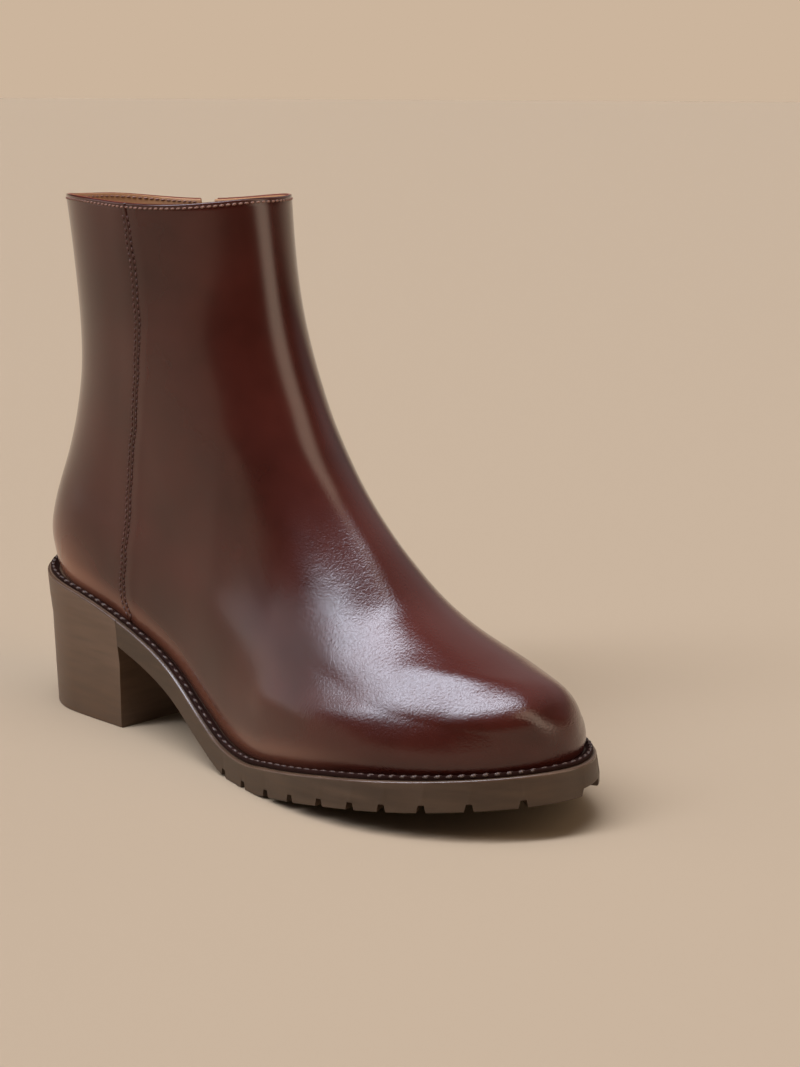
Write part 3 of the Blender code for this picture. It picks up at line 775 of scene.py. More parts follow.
@dataclass(frozen=True)
class WovenTape:
    """Woven polyester tape: near black brown, matt, with a fine herringbone."""

    dark: str = "#16100d"
    light: str = "#2f2520"
    rib_mm: float = 0.9
    relief_mm: float = 0.2

    def material(self) -> bpy.types.Material:
        """Build the material. It reads the piece's own UV map, in millimetres across and along."""
        material, tree, shader, _ = start_material("woven tape")
        across = add_node(tree, "ShaderNodeUVMap", uv_map="weave")
        parts = add_node(tree, "ShaderNodeSeparateXYZ", {0: across.outputs["UV"]})
        zigzag = add_node(tree, "ShaderNodeMath", {
            0: parts.outputs["X"], 1: 2.0 * self.rib_mm}, operation="PINGPONG")
        slanted = add_node(tree, "ShaderNodeMath", {
            0: parts.outputs["Y"], 1: zigzag.outputs[0]}, operation="ADD")
        phase = add_node(tree, "ShaderNodeMath", {
            0: slanted.outputs[0], 1: 2 * math.pi / self.rib_mm}, operation="MULTIPLY")
        rib = add_node(tree, "ShaderNodeMath", {0: phase.outputs[0]}, operation="SINE")
        share = add_node(tree, "ShaderNodeMapRange", {"Value": rib.outputs[0], "From Min": -1.0})
        tone = add_node(tree, "ShaderNodeMix", {
            0: share.outputs["Result"], 6: linear(self.dark), 7: linear(self.light)}, data_type="RGBA")
        tree.links.new(tone.outputs[2], shader.inputs["Base Color"])
        bump = add_node(tree, "ShaderNodeBump", {
            "Height": share.outputs["Result"], "Strength": 0.6, "Distance": self.relief_mm * MM})
        tree.links.new(bump.outputs["Normal"], shader.inputs["Normal"])
        shader.inputs["Roughness"].default_value = 0.85
        return material


@dataclass(frozen=True)
class Gunmetal:
    """Gunmetal plating on die-cast zinc: dark warm grey, satin, lightly marked by rubbing."""

    dark: str = "#4d4740"
    light: str = "#7b746b"
    rub_mm: float = 1.6

    def material(self) -> bpy.types.Material:
        """Build the material."""
        material, tree, shader, place = start_material("gunmetal plating")
        rub = add_node(tree, "ShaderNodeTexNoise", {
            "Vector": place, "Scale": 1 / (self.rub_mm * MM), "Detail": 4.0})
        tone = add_node(tree, "ShaderNodeMix", {
            0: rub.outputs["Fac"], 6: linear(self.dark), 7: linear(self.light)}, data_type="RGBA")
        tree.links.new(tone.outputs[2], shader.inputs["Base Color"])
        rough = add_node(tree, "ShaderNodeMapRange", {
            "Value": rub.outputs["Fac"], "To Min": 0.24, "To Max": 0.42})
        tree.links.new(rough.outputs["Result"], shader.inputs["Roughness"])
        shader.inputs["Metallic"].default_value = 1.0
        return material


@dataclass(frozen=True)
class PaperSweep:
    """Matt background paper in warm sand."""

    colour: str = "#9d8c76"

    def material(self) -> bpy.types.Material:
        """Build the material."""
        material, _, shader, _ = start_material("background paper")
        shader.inputs["Base Color"].default_value = linear(self.colour)
        shader.inputs["Roughness"].default_value = 0.95
        shader.inputs["Specular IOR Level"].default_value = 0.1
        return material


# Rows

class Path(NamedTuple):
    """Path of a row on the last, with the way it faces and its width across."""

    points: np.ndarray
    facing: np.ndarray
    span: float = 1.0


@dataclass(frozen=True)
class Row:
    """Pieces repeated along paths by a Geometry Nodes tree."""

    shape: RowShape
    pitch: float
    length: float
    width: float
    height: float
    slant: float = 0.0
    unevenness: float = 0.0

    SEED = 7
    # A tooth's head against its arm, and how far out both sit, in widths
    HEAD = (1.25, 0.42, 1.35)
    ARM_PLACE = 0.45
    HEAD_PLACE = 0.8

    def tree(self) -> bpy.types.NodeTree:
        """Build the tree: points along the paths, one piece on each, turned to path and face.

        Returns:
            The tree, with its sizes as named inputs.
        """
        tree = bpy.data.node_groups.new(f"{self.shape.value} row", "GeometryNodeTree")
        tree.interface.new_socket("Geometry", in_out="INPUT", socket_type="NodeSocketGeometry")
        for name in ("Pitch", "Length", "Width", "Height", "Slant", "Unevenness"):
            tree.interface.new_socket(name, in_out="INPUT", socket_type="NodeSocketFloat")
        tree.interface.new_socket("Material", in_out="INPUT", socket_type="NodeSocketMaterial")
        tree.interface.new_socket("Geometry", in_out="OUTPUT", socket_type="NodeSocketGeometry")
        given = add_node(tree, "NodeGroupInput").outputs
        curve = add_node(tree, "GeometryNodeMeshToCurve", {"Mesh": given["Geometry"]})
        points = add_node(tree, "GeometryNodeResampleCurve", {
            "Curve": curve.outputs[0], "Length": given["Pitch"]}, mode="LENGTH")

        facing = add_node(
            tree, "GeometryNodeInputNamedAttribute", {"Name": "facing"}, data_type="FLOAT_VECTOR")
        along = add_node(tree, "FunctionNodeAlignRotationToVector", {
            "Vector": add_node(tree, "GeometryNodeInputTangent").outputs[0]}, axis="X")
        upright = add_node(tree, "FunctionNodeAlignRotationToVector", {
            "Rotation": along.outputs[0], "Vector": facing.outputs[0]}, axis="Z", pivot_axis="X")
        chance = add_node(
            tree, "FunctionNodeRandomValue", {2: -1.0, 3: 1.0, 8: self.SEED}, data_type="FLOAT")
        turn = add_node(tree, "ShaderNodeMath", {
            0: chance.outputs[1], 1: given["Unevenness"], 2: given["Slant"]}, operation="MULTIPLY_ADD")
        if self.shape is RowShape.TOOTH:
            index = add_node(tree, "GeometryNodeInputIndex")
            odd = add_node(tree, "ShaderNodeMath", {0: index.outputs[0], 1: 2.0}, operation="MODULO")
            turn = add_node(tree, "ShaderNodeMath", {0: odd.outputs[0], 1: math.pi}, operation="MULTIPLY")
        angle = add_node(tree, "ShaderNodeCombineXYZ", {"Z": turn.outputs[0]})
        spin = add_node(tree, "FunctionNodeEulerToRotation", {0: angle.outputs[0]})
        rotation = add_node(tree, "FunctionNodeRotateRotation", {
            "Rotation": upright.outputs[0], "Rotate By": spin.outputs[0]}, rotation_space="LOCAL")
        span = add_node(tree, "GeometryNodeInputNamedAttribute", {"Name": "span"}, data_type="FLOAT")
        scale = add_node(tree, "ShaderNodeCombineXYZ", {"X": 1.0, "Y": span.outputs[0], "Z": 1.0})

        placed = add_node(tree, "GeometryNodeInstanceOnPoints", {
            "Points": points.outputs[0], "Instance": self.one(tree, given),
            "Rotation": rotation.outputs[0], "Scale": scale.outputs[0]})
        real = add_node(tree, "GeometryNodeRealizeInstances", {"Geometry": placed.outputs[0]})
        done = add_node(tree, "GeometryNodeSetMaterial", {
            "Geometry": real.outputs[0], "Material": given["Material"]})
        add_node(tree, "NodeGroupOutput", {"Geometry": done.outputs[0]})
        return tree

    def one(self, tree: bpy.types.NodeTree, given: bpy.types.bpy_prop_collection) -> bpy.types.NodeSocket:
        """Add the nodes of the one piece that is repeated.

        Args:
            tree: Tree that gets the nodes.
            given: The tree's inputs.

        Returns:
            The piece's geometry.
        """
        size = add_node(tree, "ShaderNodeCombineXYZ", {
            "X": given["Length"], "Y": given["Width"], "Z": given["Height"]})
        if self.shape is RowShape.RIB:
            return add_node(tree, "GeometryNodeMeshCube", {"Size": size.outputs[0]}).outputs["Mesh"]
        ball = add_node(tree, "GeometryNodeMeshUVSphere", {"Segments": 8, "Rings": 6, "Radius": 0.5})
        smooth = add_node(tree, "GeometryNodeSetShadeSmooth", {"Geometry": ball.outputs["Mesh"]})
        if self.shape is RowShape.STITCH:
            return add_node(tree, "GeometryNodeTransform", {
                "Geometry": smooth.outputs[0], "Scale": size.outputs[0]}).outputs[0]
        join = add_node(tree, "GeometryNodeJoinGeometry")
        head = add_node(tree, "ShaderNodeVectorMath", {
            0: size.outputs[0], 1: self.HEAD}, operation="MULTIPLY")
        for middle, scaled in ((self.ARM_PLACE, size), (self.HEAD_PLACE, head)):
            aside = add_node(tree, "ShaderNodeVectorMath", {
                0: size.outputs[0], 1: (0.0, middle, 0.0)}, operation="MULTIPLY")
            part = add_node(tree, "GeometryNodeTransform", {
                "Geometry": smooth.outputs[0], "Translation": aside.outputs[0],
                "Scale": scaled.outputs[0]})
            tree.links.new(part.outputs[0], join.inputs[0])
        return join.outputs[0]

    def lay(self, name: str, paths: Sequence[Path], material: bpy.types.Material) -> bpy.types.Object:
        """Lay the row along paths.

        Args:
            name: Name of the piece.
            paths: Paths on the last.
            material: Material of the pieces.

        Returns:
            One plain mesh object.
        """
        points, loops = number([path.points for path in paths])
        mesh = bpy.data.meshes.new(name)
        edges = [(a, b) for loop in loops for a, b in zip(loop, loop[1:])]
        mesh.from_pydata(to_world(points).tolist(), edges, [])
        facing = np.concatenate([path.facing for path in paths]).astype(np.float32)
        mesh.attributes.new("facing", "FLOAT_VECTOR", "POINT").data.foreach_set("vector", facing.ravel())
        span = np.concatenate([np.broadcast_to(path.span, len(path.points)) for path in paths])
        mesh.attributes.new("span", "FLOAT", "POINT").data.foreach_set("value", span.astype(np.float32))
        piece = bpy.data.objects.new(name, mesh)
        bpy.context.collection.objects.link(piece)
        values = {
            "Pitch": self.pitch * MM, "Length": self.length * MM, "Width": self.width * MM,
            "Height": self.height * MM, "Slant": self.slant, "Unevenness": self.unevenness,
            "Material": material,
        }
        modifier = piece.modifiers.new(name, "NODES")
        modifier.node_group = self.tree()
        for item in modifier.node_group.interface.items_tree:
            if item.in_out == "INPUT" and item.name in values:
                modifier[item.identifier] = values[item.name]
        return settle(piece)


# Upper

@dataclass(frozen=True)
class Lap:
    """Lapped seam: the rear panel lies on the front one, with its edge on the seam line."""

    rise: float = 0.32
    sink: float = 0.08
    fade: float = 14.0
    edge: float = 0.7
    crest: float = 3.0
    sink_reach: float = 1.4
    pillow: float = 0.14
    pillow_ahead: float = 4.4
    pillow_half: float = 1.9

    def height(self, ahead: np.ndarray) -> np.ndarray:
        """Height of the leather at a distance ahead of the seam."""
        rear = self.rise * ease((ahead + self.fade) / (self.fade - self.crest))
        rear = rear - edge_drop(-ahead, self.edge) * self.rise / self.edge
        front = -self.sink * np.exp(-np.maximum(ahead, 0) / self.sink_reach)
        front = front + self.pillow * bell((ahead - self.pillow_ahead) / self.pillow_half)
        return np.where(ahead < 0, rear, front)


@dataclass
class Upper:
    """Leather upper with its lining, seams, collar and zip opening."""

    last: Last
    leather: float = 1.2
    lining: float = 0.9
    zip_half: float = 4.5
    zip_low: float = 0.36
    mm_per_ring: float = 215.0
    mm_at_zip_end: float = 126.0
    collar_row: float = 1.6
    collar_row_end: float = 6.5
    collar_round: float = 0.6
    seam_rows: tuple[float, ...] = (-1.7, 0.2)
    seam_row_depth: float = 0.1
    zip_rows: tuple[float, ...] = (2.0, 6.0)
    zip_row_half: float = 0.45
    zip_round: float = 0.7
    zip_end_fade: float = 0.08
    row_half: float = 0.4
    row_depth: float = 0.12
    row_foot: float = 0.03
    row_below_top: float = 3.5
    row_below_zip: float = 9.0
    thread_lift: float = 0.08
    lining_gap: float = 0.1
    lining_lip: float = 0.9
    lining_round: float = 0.5
    lap: Lap = field(default_factory=Lap)
    thread: Row = field(default_factory=lambda: Row(RowShape.STITCH, 2.3, 1.8, 0.9, 0.7, 0.15, 0.06))
    tuck: float = 0.4
    tuck_reach: float = 3.5
    folds: tuple[Fold, ...] = (
        Fold(6.5, 0.9, (
            (158, -38, 34), (182, -41, 35), (200, -38, 38), (213, -33, 40), (225, -29, 39), (235, -24, 39),
            (245, -17, 38), (251, -10, 39), (253, -4, 40))),
        Fold(5.0, 0.5, ((238, -22, 39), (247, -14.5, 39.5), (252, -7, 40.5))),
        Fold(4.0, 0.3, (
            (214, -20.5, 54), (219, -19, 53), (225, -16.5, 52.5), (229, -13.5, 52.3), (236.5, -7.5, 51.7),
            (242.5, -2, 51.3))),
        Fold(8.0, -0.3, (
            (156, -27, 70), (166, -26.5, 69), (175, -25.5, 68), (183, -23, 67.5), (189, -19.5, 68),
            (196.5, -9.5, 69))),
    )

    # Distances of the mesh's columns and rings from the seam, the zip's edge, its middle and the collar
    SEAM_STEPS = (
        14, 10, 7.5, 6, 5, 4.2, 3.4, 2.7, 2.1, 1.6, 1.2, 0.8, 0.5, 0.3, 0.14, 0.03,
        -0.05, -0.12, -0.22, -0.36, -0.55, -0.9, -1.3, -1.6, -1.9, -2.2, -2.6, -3.3, -4.6, -6.5, -9, -12, -16,
    )
    EDGE_STEPS = (0, 0.08, 0.2, 0.4, 0.7, 1.1, 1.6, 2, 2.4, 3, 4, 5.2, 6, 6.6, 7.8, 10, 14)
    CLOSED_STEPS = (-3.4, -2.4, -1.9, -1.4, -0.9, -0.5, -0.25, -0.1, 0.03, 0.14, 0.4, 0.9, 1.7, 2.8)
    TOP_STEPS = (11, 8.5, 6.5, 5, 4, 3.2, 2.6, 2.1, 1.6, 1.2, 0.85, 0.55, 0.3, 0.12, 0)
    LINING_TOP_STEPS = (9, 6, 4, 2.5, 1.6, 1.0, 0.6, 0.35)
    LINING_REAR = 110
    LINING_FRONT = 48
    # Where the foot bends: from x over a run, and up to a height with a fade
    FLEX_START, FLEX_RUN = 120, 60
    FLEX_TOP, FLEX_FADE = 85, 40

    def rings(self) -> np.ndarray:
        """Ring fractions of the leather's mesh, close together at the collar and the zip's end."""
        below = self.zip_low - np.array(self.EDGE_STEPS[1:13])[::-1] / self.mm_at_zip_end
        top = 1 - np.array(self.TOP_STEPS) / self.mm_per_ring
        return np.concatenate([
            np.linspace(0, below[0], 40, endpoint=False), below,
            np.linspace(self.zip_low, top[0], 58, endpoint=False), top,
        ])

    def angles(self, t: np.ndarray) -> tuple[np.ndarray, range]:
        """Angles of the leather's columns, close together at the seam and beside the zip.

        Args:
            t: Ring fractions.

        Returns:
            Angles for each ring, and the columns that the zip's opening leaves out.
        """
        rows = t[:, None]
        seam = self.last.angle_on(rows, self.last.seam_line, np.array(self.SEAM_STEPS), Side.OUTER)
        beside = np.array(self.EDGE_STEPS) + self.zip_half
        steps = np.concatenate([-beside[::-1], self.CLOSED_STEPS, beside])
        closing = self.last.angle_on(rows, self.last.zip_line, steps, Side.INNER)
        front = np.linspace(0, 1, 62, endpoint=False)
        rear = np.linspace(0, 1, 21)[1:]
        blocks = [
            seam[:, :1] * front,
            seam,
            seam[:, -1:] + (np.pi - seam[:, -1:]) * rear,
            np.pi + (closing[:, :1] - np.pi) * rear[:-1],
            closing,
            closing[:, -1:] + (2 * np.pi - closing[:, -1:]) * front[1:],
        ]
        first = sum(block.shape[1] for block in blocks[:4]) + len(beside) - 1
        return np.concatenate(blocks, axis=1), range(first, first + len(self.CLOSED_STEPS) + 1)

    def beside_zip(self, t: np.ndarray, skin: np.ndarray) -> np.ndarray:
        """Distance of points on the inner side from the edge of the zip's opening."""
        across = np.abs(skin[..., 0] - self.last.zip_line(skin[..., 2])) - self.zip_half
        below = (self.zip_low - t) * self.mm_at_zip_end
        return np.hypot(np.maximum(across, 0), np.maximum(below, 0))

    def relief(self, t: np.ndarray, theta: np.ndarray, skin: np.ndarray) -> np.ndarray:
        """Height of the leather over the last's smooth face.

        Args:
            t: Ring fractions.
            theta: Angles.
            skin: Points of the smooth face there.

        Returns:
            Heights in millimetres.
        """
        outer = np.sin(theta) >= 0
        ahead = skin[..., 0] - self.last.seam_line(skin[..., 2])
        aside = skin[..., 0] - self.last.zip_line(skin[..., 2])
        closed = 1 - ease((t - self.zip_low) / self.zip_end_fade)
        below_top = (1 - t) * self.last.rate(1.0, theta)
        open_edge = self.beside_zip(t, skin)
        rows = sum(bell((ahead - row) / self.row_half) for row in self.seam_rows)
        outer_side = self.lap.height(ahead) - self.seam_row_depth * rows
        zip_rows = sum(bell((open_edge - row) / self.zip_row_half) for row in self.zip_rows)
        inner_side = closed * self.lap.height(aside) - edge_drop(open_edge, self.zip_round)
        inner_side = inner_side - self.row_depth * zip_rows
        height = np.where(outer, outer_side, inner_side) - edge_drop(below_top, self.collar_round)
        height = height - self.row_depth * bell((below_top - self.collar_row) / self.row_half)
        above = np.maximum(skin[..., 2] - self.last.rim(np.clip(skin[..., 0], 0, self.last.length)), 0)
        height = height - self.tuck * np.exp(-above / self.tuck_reach)
        return height + sum(self.swell(fold, skin) for fold in self.folds)

    @staticmethod
    def swell(fold: Fold, skin: np.ndarray) -> np.ndarray:
        """Height that one fold gives the leather."""
        line = np.array(fold.line, float)
        nearest = np.full(skin.shape[:-1], np.inf)
        for start, end in zip(line, line[1:]):
            run = end - start
            share = np.clip((skin - start) @ run / (run @ run), 0, 1)
            away = np.linalg.norm(skin - start - share[..., None] * run, axis=-1)
            nearest = np.minimum(nearest, away)
        return fold.height * bell(nearest / fold.half_width)

    def face(self, t: np.ndarray, theta: np.ndarray) -> tuple[np.ndarray, np.ndarray]:
        """Points of the leather's outer face and its normals."""
        t, theta = np.broadcast_arrays(np.asarray(t, float), np.asarray(theta, float))
        skin = self.last.skin(t, theta)
        normal = self.last.normal(t, theta)
        return skin + normal * self.relief(t, theta, skin)[..., None], normal

    @staticmethod
    def wall(rows: int, columns: int, slit: range, low_row: int) -> tuple[Faces, list[int]]:
        """Faces of a double wall, open along a slit from one row up.

        Args:
            rows: Number of rings.
            columns: Number of columns.
            slit: Columns left out above the low row.
            low_row: Row of the slit's lower end.

        Returns:
            The faces, and for each one 0 outside, 1 inside and 2 on a rim.
        """
        def at(row: int, col: int, inside: int) -> int:
            """Number of one vertex."""
            return (inside * rows + row) * columns + col % columns

        faces: Faces = []
        kinds: list[int] = []
        for row in range(rows - 1):
            for col in range(columns):
                if col in slit and row >= low_row:
                    continue
                for inside in (0, 1):
                    faces.append((at(row, col, inside), at(row, col + 1, inside),
                                  at(row + 1, col + 1, inside), at(row + 1, col, inside)))
                    kinds.append(inside)
        rims = [((0, col), (0, col + 1)) for col in range(columns)]
        rims += [((rows - 1, col), (rows - 1, col + 1)) for col in range(columns) if col not in slit]
        rims += [((low_row, col), (low_row, col + 1)) for col in slit]
        for col in (slit.start, slit.stop):
            rims += [((row, col), (row + 1, col)) for row in range(low_row, rows - 1)]
        for a, b in rims:
            faces.append((at(*a, 0), at(*b, 0), at(*b, 1), at(*a, 1)))
            kinds.append(2)
        return faces, kinds

    def make_leather(self, calf: bpy.types.Material, edge: bpy.types.Material) -> bpy.types.Object:
        """Outer leather of the upper, with cut edges at the collar and the zip."""
        t = self.rings()
        theta, slit = self.angles(t)
        outer, normal = self.face(t[:, None], theta)
        inner = self.last.skin(t[:, None], theta) - normal * self.leather
        low_row = int(np.argmin(np.abs(t - self.zip_low)))
        faces, kinds = self.wall(*theta.shape, slit, low_row)
        points = np.concatenate([outer.reshape(-1, 3), inner.reshape(-1, 3)])
        slots = [int(kind > 0) for kind in kinds]
        piece = make_piece("upper_leather", points, faces, [calf, edge], slots, 50)
        self.mark_wear_and_painted_light(piece)
        return piece

    def mark_wear_and_painted_light(self, piece: bpy.types.Object) -> None:
        """Write where the leather is lighter from rubbing and from painted light above, lighter from painted
        floor light, darker from polish and painted shade, and opened in its grain.
        """
        co = np.empty(len(piece.data.vertices) * 3)
        piece.data.vertices.foreach_get("co", co)
        points = co.reshape(-1, 3) / MM + DATUM
        facing = np.empty_like(co)
        piece.data.vertices.foreach_get("normal", facing)
        upward = facing.reshape(-1, 3)[:, 2]
        above = points[:, 2] - self.last.rim(points[:, 0])
        seam = np.abs(points[:, 0] - self.last.seam_line(points[:, 2])) + np.where(points[:, 1] < 0, 0, 99)
        beside = np.abs(np.abs(points[:, 0] - self.last.zip_line(points[:, 2])) - self.zip_half)
        beside = beside + np.where(points[:, 1] > 0, 0, 99)
        # Darker: painted shade at the foot of the upper by the welt, and polish darkening along the side seam
        # and beside the zip.
        burnish_and_shade = 0.5 * np.exp(-np.maximum(above, 0) / 1.5) + 0.3 * bell(seam / 2.5) + 0.3 * bell(beside / 4)
        flex = ease((points[:, 0] - self.FLEX_START) / self.FLEX_RUN)
        flex = flex * (1 - ease((points[:, 2] - self.FLEX_TOP) / self.FLEX_FADE))
        wear_and_light = {
            # Lighter where the bending vamp faces up: rubbing, and painted light from above.
            "rubbed_and_top_lit": 0.6 * flex * ease((upward - 0.45) / 0.5),
            # Painted bounce light and reflection from the floor, low on the upper and on the heel counter.
            "floor_light": 0.5 * bell((above - 5) / 4.5) * (1 - ease((points[:, 0] - 160) / 60))
            + 0.8 * bell((above - 9) / 12) * (1 - ease((points[:, 0] - 15) / 45)),
            "burnish_and_shade": burnish_and_shade,
            "grain": 0.12 + 0.88 * flex,
        }
        for name, value in wear_and_light.items():
            layer = piece.data.attributes.new(name, "FLOAT", "POINT")
            layer.data.foreach_set("value", np.clip(value, 0, 1).astype(np.float32))

    def make_lining(self, lining: bpy.types.Material) -> bpy.types.Object:
        """Lining leather inside the upper, a little lower than the collar's edge."""
        top = 1 - np.array(self.LINING_TOP_STEPS) / self.mm_per_ring
        t = np.concatenate([
            np.linspace(0, self.zip_low, 18, endpoint=False),
            np.linspace(self.zip_low, top[0], 30, endpoint=False),
            top,
        ])
        half = self.zip_half - self.lining_lip
        rear, fore = (
            self.last.angle_on(t, self.last.zip_line, offset, Side.INNER)[:, None]
            for offset in (-half, half))
        theta = np.concatenate([
            rear * np.linspace(0, 1, self.LINING_REAR),
            fore + (2 * np.pi - fore) * np.linspace(0, 1, self.LINING_FRONT, endpoint=False),
        ], axis=1)
        skin = self.last.skin(t[:, None], theta)
        normal = self.last.normal(t[:, None], theta)
        depth = self.leather + self.lining_gap
        roll = edge_drop((t[-1] - t) * self.mm_per_ring, self.lining_round)[:, None, None]
        layers = [skin - normal * depth, skin - normal * (depth + self.lining - roll)]
        low_row = int(np.argmin(np.abs(t - self.zip_low)))
        slit = range(self.LINING_REAR - 1, self.LINING_REAR)
        faces, _ = self.wall(*theta.shape, slit, low_row)
        points = np.concatenate([layer.reshape(-1, 3) for layer in layers])
        return make_piece("lining", points, faces, [lining], sharp=50)

    def sewn(self, t: np.ndarray, theta: np.ndarray) -> Path:
        """Path of a stitch row on the leather's face."""
        points, facing = self.face(t, theta)
        return Path(points + facing * self.thread_lift, facing)

    def collar_line(self) -> tuple[np.ndarray, np.ndarray]:
        """Ring fractions and angles of the stitch row along the collar."""
        reach = np.array([-self.collar_row_end, self.collar_row_end])
        ends = self.last.angle_on(np.full(2, 0.99), self.last.zip_line, reach, Side.INNER)
        theta = np.linspace(ends[1] - 2 * np.pi, ends[0], 700)
        return 1 - self.collar_row / self.last.rate(1.0, theta), theta

    def seam_paths(self) -> list[Path]:
        """Paths of the stitch rows of the side seam, beside the zip and of the seam below the zip."""
        paths = []
        top = 1 - self.row_below_top / self.mm_per_ring
        rise = np.linspace(self.row_foot, top, 240)
        for row in self.seam_rows:
            paths.append(self.sewn(rise, self.last.angle_on(rise, self.last.seam_line, row, Side.OUTER)))
        for row in self.zip_rows:
            low = self.zip_low - row / self.mm_at_zip_end
            climb = np.linspace(low, top, 160)
            reach = self.zip_half + row
            t = np.concatenate([climb[::-1], np.full(30, low), climb])
            offset = np.concatenate([
                np.full(160, -reach), np.linspace(-reach, reach, 30), np.full(160, reach)])
            paths.append(self.sewn(t, self.last.angle_on(t, self.last.zip_line, offset, Side.INNER)))
        rise = np.linspace(self.row_foot, self.zip_low - self.row_below_zip / self.mm_at_zip_end, 120)
        for row in self.seam_rows:
            paths.append(self.sewn(rise, self.last.angle_on(rise, self.last.zip_line, row, Side.INNER)))
        return paths

    def lining_path(self) -> Path:
        """Path of the collar's stitch row on the lining, facing into the boot."""
        t, theta = self.collar_line()
        normal = self.last.normal(t, theta)
        depth = self.leather + self.lining_gap + self.lining
        return Path(self.last.skin(t, theta) - normal * depth, -normal)

    def build(self, finishes: Finishes) -> None:
        """Make and dress all pieces of the upper.

        Args:
            finishes: Materials by finish.
        """
        leather = self.make_leather(finishes[Finish.CALF], finishes[Finish.EDGE])
        dress(leather, "boot", "calf_leather", "upper")
        dress(self.make_lining(finishes[Finish.LINING]), "boot", "insole_leather")
        seams = self.thread.lay("seam_stitches", self.seam_paths(), finishes[Finish.SEAM_THREAD_PAINTED_DARK])
        dress(seams, "boot", "calf_leather")
        around = [self.sewn(*self.collar_line())]
        collar = self.thread.lay("collar_stitches", around, finishes[Finish.COLLAR_THREAD_PAINTED_LIGHT])
        dress(collar, "boot", "calf_leather")
        inside = self.thread.lay("lining_stitches", [self.lining_path()], finishes[Finish.COLLAR_THREAD_PAINTED_LIGHT])
        dress(inside, "boot", "insole_leather")


# Sole

